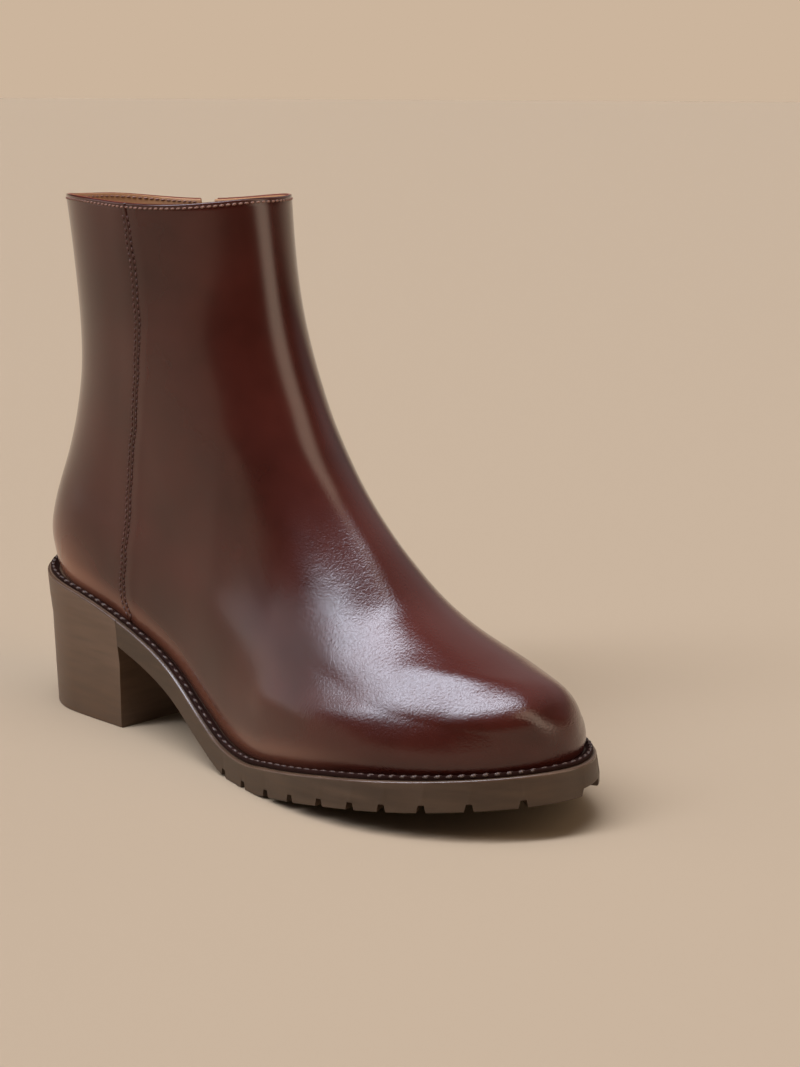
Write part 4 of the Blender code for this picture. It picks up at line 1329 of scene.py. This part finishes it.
@dataclass
class Sole:
    """Rubber forepart with lugs, block heel, stitched welt and insole."""

    last: Last
    bevel: float = 0.8
    flare: float = 1.2
    breast_x: float = 63.7
    breast_rake: float = 0.4
    lug_height: float = 2.6
    lug_depth: float = 13.0
    lug_draft: float = 0.6
    channel_width: float = 3.2
    channels: tuple[float, ...] = (22.0, 40.0, 56.0, 70.0, 82.0, 95.5, 110.0, 124.0, 139.0, 153.5)
    toe_cut_end: float = 13.0
    tread_depth: float = 0.9
    welt_height: float = 1.4
    welt_inset: float = 1.3
    wall: float = 2.2
    shank_draft: float = 0.4
    edge_chamfer: float = 0.4
    insole_gap: float = 0.1
    insole_chamfer: float = 0.6
    rib_start: float = 134.0
    rib_toe_gap: float = 10.0
    rib_side_gap: float = 3.5
    rib_sink: float = 0.25
    welt_thread: Row = field(default_factory=lambda: Row(RowShape.STITCH, 4.0, 2.9, 1.5, 1.2, 0.3, 0.06))
    tread: Row = field(default_factory=lambda: Row(RowShape.RIB, 5.0, 2.6, 1.0, 1.2))

    RIM_STEPS = 5
    # Where the edge flares and the tread sinks: from x over a run
    FLARE_START, FLARE_RUN = 150, 80
    TREAD_START, TREAD_RUN = 118, 14
    # How far inside the lugs the sunk tread has its floor and its brim
    TREAD_FLOOR, TREAD_BRIM = 2.0, 1.4
    # Heel: inset at a distance below the rim, inset of the foot at x, and the foot's edge out and up
    HEEL_SIDE = ((9, 0.6), (18, 1.6))
    HEEL_TAPER = ((16, 48), (2.9, 2.2))
    HEEL_FOOT = ((0.02, 0.5), (-0.4, 0.0))
    # Welt: share of its width and of its height, with the stitches in the groove
    WELT_SECTION = (
        (0, 0), (1, 0), (1, 0.5), (0.98, 0.8), (0.94, 0.95), (0.89, 1), (0.84, 0.92), (0.79, 0.78),
        (0.72, 0.7), (0.63, 0.78), (0.57, 0.92), (0.5, 0.9), (0.36, 0.5), (0.18, 0.3), (0, 0.25),
    )
    GROOVE = 8
    # Sock: share of the way to the middle, and height
    SOCK_PROFILE = ((0.0, 1.9), (0.02, 2.4), (0.05, 2.6), (0.25, 2.35), (0.55, 2.2), (0.9, 2.2))

    def stations(self) -> tuple[np.ndarray, np.ndarray]:
        """Plan points of the forepart's edge, from the breast round the toe, and where it is cut.

        Returns:
            Points, and the height of the cut at each one.
        """
        start = self.breast_x + GAP
        sides = [self.last.edge_path(start, self.last.length, side) for side in Side]
        lengths = [np.linalg.norm(np.diff(path, axis=0), axis=1).sum() for path in sides]
        halves = []
        for path, length, side in zip(sides, lengths, Side):
            marks = dict.fromkeys(np.arange(0, length, 2.2).tolist() + [length], 0.0)
            cuts = [(middle, self.channel_width) for middle in self.channels]
            if side is Side.INNER:
                cuts.append((self.toe_cut_end / 2 + self.lug_draft / 2, self.toe_cut_end + self.lug_draft))
            for middle, width in cuts:
                near, far = middle - width / 2, middle + width / 2
                for mark in [mark for mark in marks if near - 0.9 < mark < far + 0.9]:
                    del marks[mark]
                marks.update({near: 0.0, far: 0.0, near + self.lug_draft: 1.0, far - self.lug_draft: 1.0})
                marks.update(dict.fromkeys(np.arange(near + 2, far - 1.5, 2.0).tolist(), 1.0))
            at = np.array(sorted(marks))
            halves.append((walk(path, at / length), np.array([marks[d] for d in at.tolist()])))
        outer, inner = halves
        path = np.concatenate([outer[0][::-1], inner[0][1:]])
        cut = np.concatenate([outer[1][::-1], inner[1][1:]])
        return path, cut * self.lug_height

    def make_forepart(self, rubber: bpy.types.Material, rim: bpy.types.Material) -> bpy.types.Object:
        """Forepart and shank: a bevelled top edge, lugs along the lower edge and a sunk tread."""
        path, cut = self.stations()
        normal = edge_normals(path)
        x = path[:, 0]
        low = self.last.underside(x)
        spread = ease((x - self.FLARE_START) / self.FLARE_RUN)
        low_edge = path + normal * (self.flare * spread - self.shank_draft * (1 - spread))[:, None]
        sunk = low + self.tread_depth * ease((x - self.TREAD_START) / self.TREAD_RUN)
        loops = [
            with_height(path - normal * (self.lug_depth + self.TREAD_FLOOR), sunk),
            with_height(path - normal * (self.lug_depth + self.TREAD_BRIM), low),
            with_height(path - normal * (self.lug_depth + self.lug_draft), low),
            with_height(path - normal * self.lug_depth, low + cut),
            with_height(low_edge - normal * self.edge_chamfer, low + cut),
            with_height(low_edge, low + cut + self.edge_chamfer),
        ]
        first_rim = len(loops)
        loops += self.rim_loops(path, normal)[::-1]
        points, numbers = number(loops)
        faces = [face for a, b in zip(numbers, numbers[1:]) for face in strip(a, b, closed=False)]
        slots = [int(k >= first_rim) for k in range(len(numbers) - 1) for _ in range(len(path) - 1)]
        faces += lid(numbers[0]) + lid(numbers[-1])
        faces.append(tuple([loop[0] for loop in numbers] + [loop[-1] for loop in reversed(numbers)]))
        slots += [0] * (len(faces) - len(slots))
        return make_piece("forepart", points, faces, [rubber, rim], slots, sharp=40)

    def rim_loops(self, path: np.ndarray, normal: np.ndarray) -> list[np.ndarray]:
        """Rounded top edge of the sole, from its top face down to its side."""
        turn = np.linspace(0, math.pi / 2, self.RIM_STEPS)
        top = self.last.rim(path[:, 0])
        return [
            with_height(path - normal * self.bevel * (1 - math.sin(a)), top - self.bevel * (1 - math.cos(a)))
            for a in turn
        ]

    def make_heel(self, rubber: bpy.types.Material, rim: bpy.types.Material) -> bpy.types.Object:
        """Block heel that carries the seat and narrows a little towards the floor."""
        sides = [walk(self.last.edge_path(self.breast_x, 0.0, side), np.linspace(0, 1, 90)) for side in Side]
        path = np.concatenate([sides[0][::-1], sides[1][1:]])
        normal = edge_normals(path)
        x = path[:, 0]
        top = self.last.rim(x)
        loops = self.rim_loops(path, normal)
        loops += [with_height(path - normal * inset, top - below) for below, inset in self.HEEL_SIDE]
        foot = path - normal * np.interp(x, *self.HEEL_TAPER)[:, None]
        foot[[0, -1], 0] -= self.breast_rake
        loops += [with_height(foot + out * normal, np.full(len(x), height)) for out, height in self.HEEL_FOOT]
        points, numbers = number(loops)
        faces = [face for a, b in zip(numbers, numbers[1:]) for face in strip(a, b, closed=False)]
        slots = [int(k < self.RIM_STEPS - 1) for k in range(len(numbers) - 1) for _ in range(len(path) - 1)]
        faces += lid(numbers[0]) + lid(numbers[-1])
        faces += [(a[0], b[0], b[-1], a[-1]) for a, b in zip(numbers, numbers[1:])]
        slots += [0] * (len(faces) - len(slots))
        return make_piece("heel_block", points, faces, [rubber, rim], slots, sharp=40)

    def foot_loop(self, t: float, depth: float, count: int = 420) -> tuple[np.ndarray, np.ndarray]:
        """Plan points of the upper on ring t, moved inwards by a depth, with outward normals."""
        theta = np.linspace(0, 2 * np.pi, count, endpoint=False)
        path = self.last.skin(t, theta)[:, :2]
        run = np.roll(path, -1, axis=0) - np.roll(path, 1, axis=0)
        normal = np.column_stack([run[:, 1], -run[:, 0]])
        normal /= np.linalg.norm(normal, axis=1, keepdims=True)
        if np.sum(normal * (path - path.mean(axis=0))) < 0:
            normal = -normal
        return path - normal * depth, normal

    def reach_edge(self, path: np.ndarray, normal: np.ndarray) -> np.ndarray:
        """Move plan points out along their normals to the sole's edge, less the welt's inset."""
        middle = self.last.length / 2
        edge = np.concatenate([
            self.last.edge_path(middle, end, side) for end in (0.0, self.last.length) for side in Side])
        offset = edge[None] - path[:, None]
        along = np.einsum("ijk,ik->ij", offset, normal)
        across = np.abs(offset[..., 0] * normal[:, None, 1] - offset[..., 1] * normal[:, None, 0])
        across[along < 0] = np.inf
        nearest = across.argmin(axis=1)
        distance = along[np.arange(len(path)), nearest] - self.welt_inset
        return path + normal * distance[:, None]

    def make_welt(self, leather: bpy.types.Material) -> tuple[bpy.types.Object, Path]:
        """Welt strip round the foot of the upper.

        Args:
            leather: Material of the strip.

        Returns:
            The strip, and the path of its stitches.
        """
        inner, normal = self.foot_loop(0.03, 0.1)
        outer = self.reach_edge(inner, normal)
        loops = []
        for share, height in self.WELT_SECTION:
            plan = inner + (outer - inner) * share
            loops.append(with_height(plan, self.last.rim(plan[:, 0]) + GAP + height * self.welt_height))
        points, numbers = number(loops)
        faces = [face for a, b in zip(numbers, numbers[1:] + numbers[:1]) for face in strip(a, b)]
        groove = loops[self.GROOVE]
        closed = np.concatenate([groove, groove[:1]])
        facing = np.tile([0.0, 0.0, 1.0], (len(closed), 1))
        return make_piece("welt_strip", points, faces, [leather], sharp=60), Path(closed, facing)

    def make_insole(self, leather: bpy.types.Material) -> bpy.types.Object:
        """Insole with its leather sock, a little dished and with a soft edge."""
        path, normal = self.foot_loop(0.0, self.wall + GAP + self.insole_gap, 240)
        base = self.last.rim(path[:, 0]) + GAP + self.insole_gap
        half = len(path) // 2
        mirror = (-np.arange(len(path))) % len(path)
        middle = (path + path[mirror]) / 2
        soft = self.insole_chamfer
        loops = [with_height(path - normal * soft, base), with_height(path, base + soft)]
        for share, height in self.SOCK_PROFILE:
            plan = path + (middle - path) * share
            loops.append(with_height(plan, self.last.rim(plan[:, 0]) + GAP + self.insole_gap + height))
        points, numbers = number(loops)
        faces = [face for a, b in zip(numbers, numbers[1:]) for face in strip(a, b)]
        for loop in (numbers[0], numbers[-1]):
            order = [loop[(k + half) % len(loop)] for k in range(len(loop))]
            faces += lid(order)
        return make_piece("insole_sock", points, faces, [leather], sharp=50)

    def tread_paths(self) -> list[Path]:
        """Paths of the ribs that cross the sunk middle of the tread."""
        x = np.linspace(self.rib_start, self.last.length - self.lug_depth - self.rib_toe_gap, 60)
        height = self.last.underside(x) + self.tread.height / 2 + self.rib_sink
        slope = np.gradient(height, x)
        facing = np.column_stack([slope, np.zeros_like(x), -np.ones_like(x)])
        half = self.last.sole_half(x) - self.lug_depth - self.rib_side_gap
        return [Path(np.column_stack([x, self.last.centre(x), height]), facing, 2 * half)]

    def build(self, finishes: Finishes) -> None:
        """Make and dress all pieces of the sole.

        Args:
            finishes: Materials by finish.
        """
        forepart = self.make_forepart(finishes[Finish.RUBBER], finishes[Finish.RIM])
        dress(forepart, "boot", "sole_rubber", "outsole")
        block = self.make_heel(finishes[Finish.HEEL_RUBBER_PAINTED_LIGHTER], finishes[Finish.RIM])
        dress(block, "boot", "sole_rubber", "heel")
        ribs = self.tread.lay("tread_ribs", self.tread_paths(), finishes[Finish.RUBBER])
        dress(ribs, "boot", "sole_rubber")
        strip_piece, groove = self.make_welt(finishes[Finish.WELT])
        dress(strip_piece, "boot", "welt_leather", "welt")
        stitches = self.welt_thread.lay("welt_stitches", [groove], finishes[Finish.WELT_THREAD])
        dress(stitches, "boot", "welt_leather")
        dress(self.make_insole(finishes[Finish.SOCK]), "boot", "insole_leather", "insole")


# Zip

@dataclass
class Zip:
    """Zip on the inner side: woven tape, two rows of teeth, slider and pull tab."""

    last: Last
    nodes: dict[str, bpy.types.Object]
    low: float = 0.364
    high: float = 0.99
    tape_half: float = 4.35
    tape_depth: float = 0.55
    tape_thick: float = 0.6
    teeth_low: float = 0.012
    teeth_high: float = 0.975
    teeth_rise: float = 0.45
    edge_round: float = 0.22
    teeth: Row = field(default_factory=lambda: Row(RowShape.TOOTH, 0.95, 0.9, 2.5, 1.0))

    def layer(self, t: np.ndarray, offset: np.ndarray, depth: float) -> tuple[np.ndarray, np.ndarray]:
        """Points beside the zip's line at a depth under the leather's face, and normals."""
        theta = self.last.angle_on(t, self.last.zip_line, offset, Side.INNER)
        normal = self.last.normal(t, theta)
        return self.last.skin(t, theta) - depth * normal, normal

    def make_tape(self, woven: bpy.types.Material) -> bpy.types.Object:
        """Tape that fills the zip's opening, with a UV map in millimetres for its weave."""
        t = np.linspace(self.low, self.high, 120)
        across = np.linspace(-self.tape_half, self.tape_half, 9)
        depths = (self.tape_depth, self.tape_depth + self.tape_thick)
        layers = [self.layer(t[:, None], across, depth)[0] for depth in depths]
        loops = [np.concatenate([layers[0][row], layers[1][row][::-1]]) for row in range(len(t))]
        points, numbers = number(loops)
        faces = [face for a, b in zip(numbers, numbers[1:]) for face in strip(a, b)]
        faces += [tuple(numbers[0]), tuple(numbers[-1])]
        piece = make_piece("zip_tape_weave", points, faces, [woven], sharp=50)
        run = np.concatenate([[0], np.cumsum(np.linalg.norm(np.diff(layers[0][:, 4], axis=0), axis=1))])
        aside = np.concatenate([across, across[::-1]])
        place = np.stack([np.broadcast_to(aside, (len(t), len(aside))),
                          np.broadcast_to(run[:, None], (len(t), len(aside)))], -1).reshape(-1, 2)
        uv = piece.data.uv_layers.new(name="weave")
        corners = np.empty(len(piece.data.loops), np.int32)
        piece.data.loops.foreach_get("vertex_index", corners)
        uv.data.foreach_set("uv", place[corners].astype(np.float32).ravel())
        return piece

    def teeth_path(self) -> Path:
        """Middle line of the tooth chain."""
        t = np.linspace(self.low + self.teeth_low, self.teeth_high, 200)
        points, facing = self.layer(t, np.zeros_like(t), self.tape_depth - self.teeth_rise)
        return Path(points, facing)

    def rounded_copy(self, node: str, name: str, metal: bpy.types.Material) -> bpy.types.Object:
        """Copy of a packed metal part with its edges rounded.

        Args:
            node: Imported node.
            name: Name of the new piece.
            metal: Material of the part.

        Returns:
            The new object.
        """
        mesh = self.nodes[node].data.copy()
        mesh.materials.clear()
        mesh.materials.append(metal)
        shape = bmesh.new()
        shape.from_mesh(mesh)
        bmesh.ops.remove_doubles(shape, verts=shape.verts, dist=2e-6)
        bmesh.ops.dissolve_limit(shape, angle_limit=math.radians(2), verts=shape.verts, edges=shape.edges)
        shape.to_mesh(mesh)
        shape.free()
        piece = bpy.data.objects.new(name, mesh)
        bpy.context.collection.objects.link(piece)
        bevel = piece.modifiers.new("edges", "BEVEL")
        bevel.width = self.edge_round * MM
        bevel.segments = 3
        bevel.limit_method = "ANGLE"
        bevel.angle_limit = math.radians(28)
        settle(piece)
        piece.data.shade_smooth()
        piece.data.set_sharp_from_angle(angle=math.radians(40))
        return piece

    def build(self, finishes: Finishes) -> None:
        """Make and dress all pieces of the zip.

        Args:
            finishes: Materials by finish.
        """
        dress(self.make_tape(finishes[Finish.TAPE]), "boot", "zip_tape", "zip_tape")
        teeth = self.teeth.lay("zip_tooth_rows", [self.teeth_path()], finishes[Finish.METAL])
        dress(teeth, "boot", "gunmetal", "zip_teeth")
        slider = self.rounded_copy("zip_slider", "slider_body", finishes[Finish.METAL])
        dress(slider, "boot", "gunmetal", "zip_slider")
        pull = self.rounded_copy("zip_pull", "pull_tab", finishes[Finish.METAL])
        dress(pull, "zip_pull", "gunmetal", "zip_pull")


# Studio

class Lamp(NamedTuple):
    """Far soft light: the way it comes from, how wide it looks in degrees and its strength."""

    name: str
    comes_from: tuple[float, float, float]
    width: float
    strength: float
    colour: str


class Softbox(NamedTuple):
    """Far soft box: the way it comes from and runs, half sizes and softness at distance 1, and glow."""

    comes_from: tuple[float, float, float]
    runs: tuple[float, float, float]
    half_width: float
    half_length: float
    side_softness: float
    end_softness: float
    strength: float
    colour: str


@dataclass
class Studio:
    """Paper floor, soft lights and the camera at the photograph's angle, in metres."""

    floor_radius: float = 40.0
    camera_place: tuple[float, float, float] = (0.5430, -0.4996, 0.2468)
    azimuth: float = 44.41
    elevation: float = 12.4
    roll: float = 0.3
    focal_px: float = 2031.0
    long_side_px: float = 1067.0
    sensor: float = 36.0
    horizon: str = "#ccb59d"
    sky: str = "#2a2420"
    horizon_band: tuple[float, float] = (0.05, 0.25)
    dark_side: tuple[float, float, float] = (0.84, -0.54, 0.0)
    dark_band: tuple[float, float] = (-0.6, 0.4)
    dark_above: tuple[float, float] = (0.05, 0.11)
    lamps: tuple[Lamp, ...] = (Lamp("top light", (-0.15, -0.3, 0.94), 60.0, 1.05, "#fffaf6"),)
    boxes: tuple[Softbox, ...] = (
        Softbox((-0.09, -0.37, 0.92), (0.61, 0.96, 0.44), 0.085, 0.66, 0.13, 0.42, 27.0, "#e9efff"),
        Softbox((-0.74, -0.56, 0.37), (0.0, 0.0, 1.0), 0.27, 0.36, 0.12, 0.12, 1.15, "#f6f1f4"),
        Softbox((0.82, 0.24, 0.52), (0.38, 0.58, -0.87), 0.22, 0.67, 0.14, 0.14, 2.4, "#ffe4ca"),
        Softbox((-0.1, 0.75, 0.66), (1.0, 0.0, 0.0), 0.5, 0.6, 0.3, 0.3, 0.4, "#f4ecec"),
    )

    def make_floor(self, paper: bpy.types.Material) -> None:
        """Flat sheet of paper that reaches out of sight on all sides."""
        turn = np.linspace(0, 2 * math.pi, 96, endpoint=False)
        rim = np.column_stack([np.cos(turn), np.sin(turn), np.zeros_like(turn)]) * self.floor_radius
        mesh = bpy.data.meshes.new("paper_floor")
        mesh.from_pydata(rim.tolist(), [], [tuple(range(len(rim)))])
        mesh.materials.append(paper)
        floor = bpy.data.objects.new("paper_floor", mesh)
        bpy.context.collection.objects.link(floor)

    def make_surroundings(self) -> None:
        """Room light: paper colour along the horizon, dim above and on the side of the dark room.

        Seen directly, the paper goes up out of sight behind the boot, as a sweep does.
        """
        world = bpy.data.worlds.new("studio")
        bpy.context.scene.world = world
        world.use_nodes = True
        tree = world.node_tree
        way = add_node(tree, "ShaderNodeTexCoord").outputs["Generated"]
        height = add_node(tree, "ShaderNodeSeparateXYZ", {0: way}).outputs["Z"]
        low, high = self.horizon_band
        rise = add_node(tree, "ShaderNodeMapRange", {
            "Value": height, "From Min": low, "From Max": high}, interpolation_type="SMOOTHSTEP")
        lit = add_node(tree, "ShaderNodeMix", {
            0: rise.outputs["Result"], 6: linear(self.horizon), 7: linear(self.sky)}, data_type="RGBA")
        towards = add_node(tree, "ShaderNodeVectorMath", {
            0: way, 1: self.dark_side}, operation="DOT_PRODUCT")
        near, far = self.dark_band
        shade = add_node(tree, "ShaderNodeMapRange", {
            "Value": towards.outputs["Value"], "From Min": near, "From Max": far},
            interpolation_type="SMOOTHSTEP")
        low, high = self.dark_above
        clear = add_node(tree, "ShaderNodeMapRange", {
            "Value": height, "From Min": low, "From Max": high, "To Max": shade.outputs["Result"]},
            interpolation_type="SMOOTHSTEP")
        colour = add_node(tree, "ShaderNodeMix", {
            0: clear.outputs["Result"], 6: lit.outputs[2], 7: linear(self.sky)}, data_type="RGBA")
        total = add_node(tree, "ShaderNodeBackground", {"Color": colour.outputs[2]})
        for box in self.boxes:
            total = add_node(tree, "ShaderNodeAddShader", {
                0: total.outputs[0], 1: self.box_glow(tree, way, box)})
        seen = add_node(tree, "ShaderNodeLightPath").outputs["Is Camera Ray"]
        paper = add_node(tree, "ShaderNodeBackground", {"Color": linear(self.horizon)})
        room = add_node(tree, "ShaderNodeMixShader", {
            0: seen, 1: total.outputs[0], 2: paper.outputs[0]})
        tree.links.new(room.outputs[0], tree.nodes["World Output"].inputs["Surface"])

    @staticmethod
    def box_glow(
        tree: bpy.types.NodeTree, way: bpy.types.NodeSocket, box: Softbox,
    ) -> bpy.types.NodeSocket:
        """Glow of one soft box in the surroundings.

        Args:
            tree: Tree of the surroundings.
            way: Direction that is looked in.
            box: The soft box.

        Returns:
            Shader of the glow.
        """
        centre = Vector(box.comes_from).normalized()
        along = Vector(box.runs)
        along = (along - along.project(centre)).normalized()
        depth = add_node(tree, "ShaderNodeVectorMath", {
            0: way, 1: centre}, operation="DOT_PRODUCT").outputs["Value"]
        ahead = add_node(tree, "ShaderNodeMath", {0: depth, 1: 0.0}, operation="GREATER_THAN")
        glow = add_node(tree, "ShaderNodeMath", {
            0: ahead.outputs[0], 1: box.strength}, operation="MULTIPLY")
        sides = (centre.cross(along), box.half_width, box.side_softness)
        ends = (along, box.half_length, box.end_softness)
        for axis, half, softness in (sides, ends):
            reach = add_node(tree, "ShaderNodeVectorMath", {0: way, 1: axis}, operation="DOT_PRODUCT")
            slope = add_node(tree, "ShaderNodeMath", {
                0: reach.outputs["Value"], 1: depth}, operation="DIVIDE")
            size = add_node(tree, "ShaderNodeMath", {0: slope.outputs[0]}, operation="ABSOLUTE")
            share = add_node(tree, "ShaderNodeMapRange", {
                "Value": size.outputs[0], "From Min": half - softness, "From Max": half + softness,
                "To Min": 1.0, "To Max": 0.0}, interpolation_type="SMOOTHSTEP")
            glow = add_node(tree, "ShaderNodeMath", {
                0: glow.outputs[0], 1: share.outputs["Result"]}, operation="MULTIPLY")
        return add_node(tree, "ShaderNodeBackground", {
            "Color": linear(box.colour), "Strength": glow.outputs[0]}).outputs[0]

    def make_lamps(self) -> None:
        """Far soft lights that the polish does not mirror, so that the floor is lit evenly."""
        for lamp in self.lamps:
            light = bpy.data.lights.new(lamp.name, "SUN")
            light.angle = math.radians(lamp.width)
            light.energy = lamp.strength
            light.color = linear(lamp.colour)[:3]
            stand = bpy.data.objects.new(lamp.name, light)
            stand.visible_glossy = False
            stand.rotation_euler = Vector(lamp.comes_from).to_track_quat("Z", "Y").to_euler()
            bpy.context.collection.objects.link(stand)

    def make_camera(self) -> None:
        """Camera solved from the photograph."""
        data = bpy.data.cameras.new("camera")
        data.sensor_width = self.sensor
        data.lens = self.focal_px * self.sensor / self.long_side_px
        data.clip_start = 0.01
        a, e, r = (math.radians(angle) for angle in (self.azimuth, self.elevation, self.roll))
        back = Vector((math.sin(a) * math.cos(e), -math.cos(a) * math.cos(e), math.sin(e)))
        level = Vector((math.cos(a), math.sin(a), 0.0))
        upright = back.cross(level)
        right = level * math.cos(r) + upright * math.sin(r)
        up = upright * math.cos(r) - level * math.sin(r)
        camera = bpy.data.objects.new("camera", data)
        turned = Matrix((right, up, back)).transposed().to_4x4()
        camera.matrix_world = Matrix.Translation(self.camera_place) @ turned
        bpy.context.collection.objects.link(camera)
        bpy.context.scene.camera = camera

    def build(self, paper: bpy.types.Material) -> None:
        """Set up the studio."""
        self.make_floor(paper)
        self.make_surroundings()
        self.make_lamps()
        self.make_camera()
        bpy.context.scene.view_settings.view_transform = "Standard"


def make_finishes() -> Finishes:
    """Build every finish of the boot once, by the name its pieces ask for."""
    return {
        Finish.CALF: PolishedCalf().material(),
        Finish.EDGE: PlainLeather("painted leather edge", "#6e3026", "#94503f", 0.45, 0.4).material(),
        Finish.LINING: PlainLeather("lining leather", "#8c6140", "#a97d54", 0.6, 0.7).material(),
        Finish.SOCK: PlainLeather("sock leather", "#93602f", "#ad7a47", 0.55, 0.7).material(),
        Finish.WELT: PlainLeather("welt leather", "#160a07", "#2a1510", 0.75, 0.5, 0.08).material(),
        # One thread everywhere: the seam and zip rows get a painted shaded copy, the collar and lining rows a
        # painted lit copy.
        Finish.SEAM_THREAD_PAINTED_DARK: WaxedThread("thread painted dark for shade", "#2c120c", "#5e382c").material(),
        Finish.COLLAR_THREAD_PAINTED_LIGHT: WaxedThread("thread painted lighter for lit rows", "#5f3d32", "#97705f").material(),
        Finish.WELT_THREAD: WaxedThread("grey brown thread", "#2e201a", "#57443a", 0.7).material(),
        Finish.RUBBER: MouldedRubber().material(),
        # Same rubber as the forepart, painted lighter for the light that falls on the heel's side.
        Finish.HEEL_RUBBER_PAINTED_LIGHTER: MouldedRubber("moulded rubber painted lighter on the heel", "#4b392b", "#6e5542").material(),
        Finish.RIM: MouldedRubber("buffed rubber edge", "#3a2a20", "#5c4636", 0.2).material(),
        Finish.TAPE: WovenTape().material(),
        Finish.METAL: Gunmetal().material(),
    }


def main() -> None:
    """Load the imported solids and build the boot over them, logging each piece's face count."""
    logging.basicConfig(level=logging.INFO, format="%(name)s %(message)s")
    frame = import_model()
    finishes = make_finishes()
    last = Last()
    for part in (Upper(last), Sole(last), Zip(last, frame["nodes"])):
        part.build(finishes)
        LOG.info("%s done", type(part).__name__)
    Studio().build(PaperSweep().material())
    bpy.context.view_layer.update()


if __name__ == "__main__":
    main()
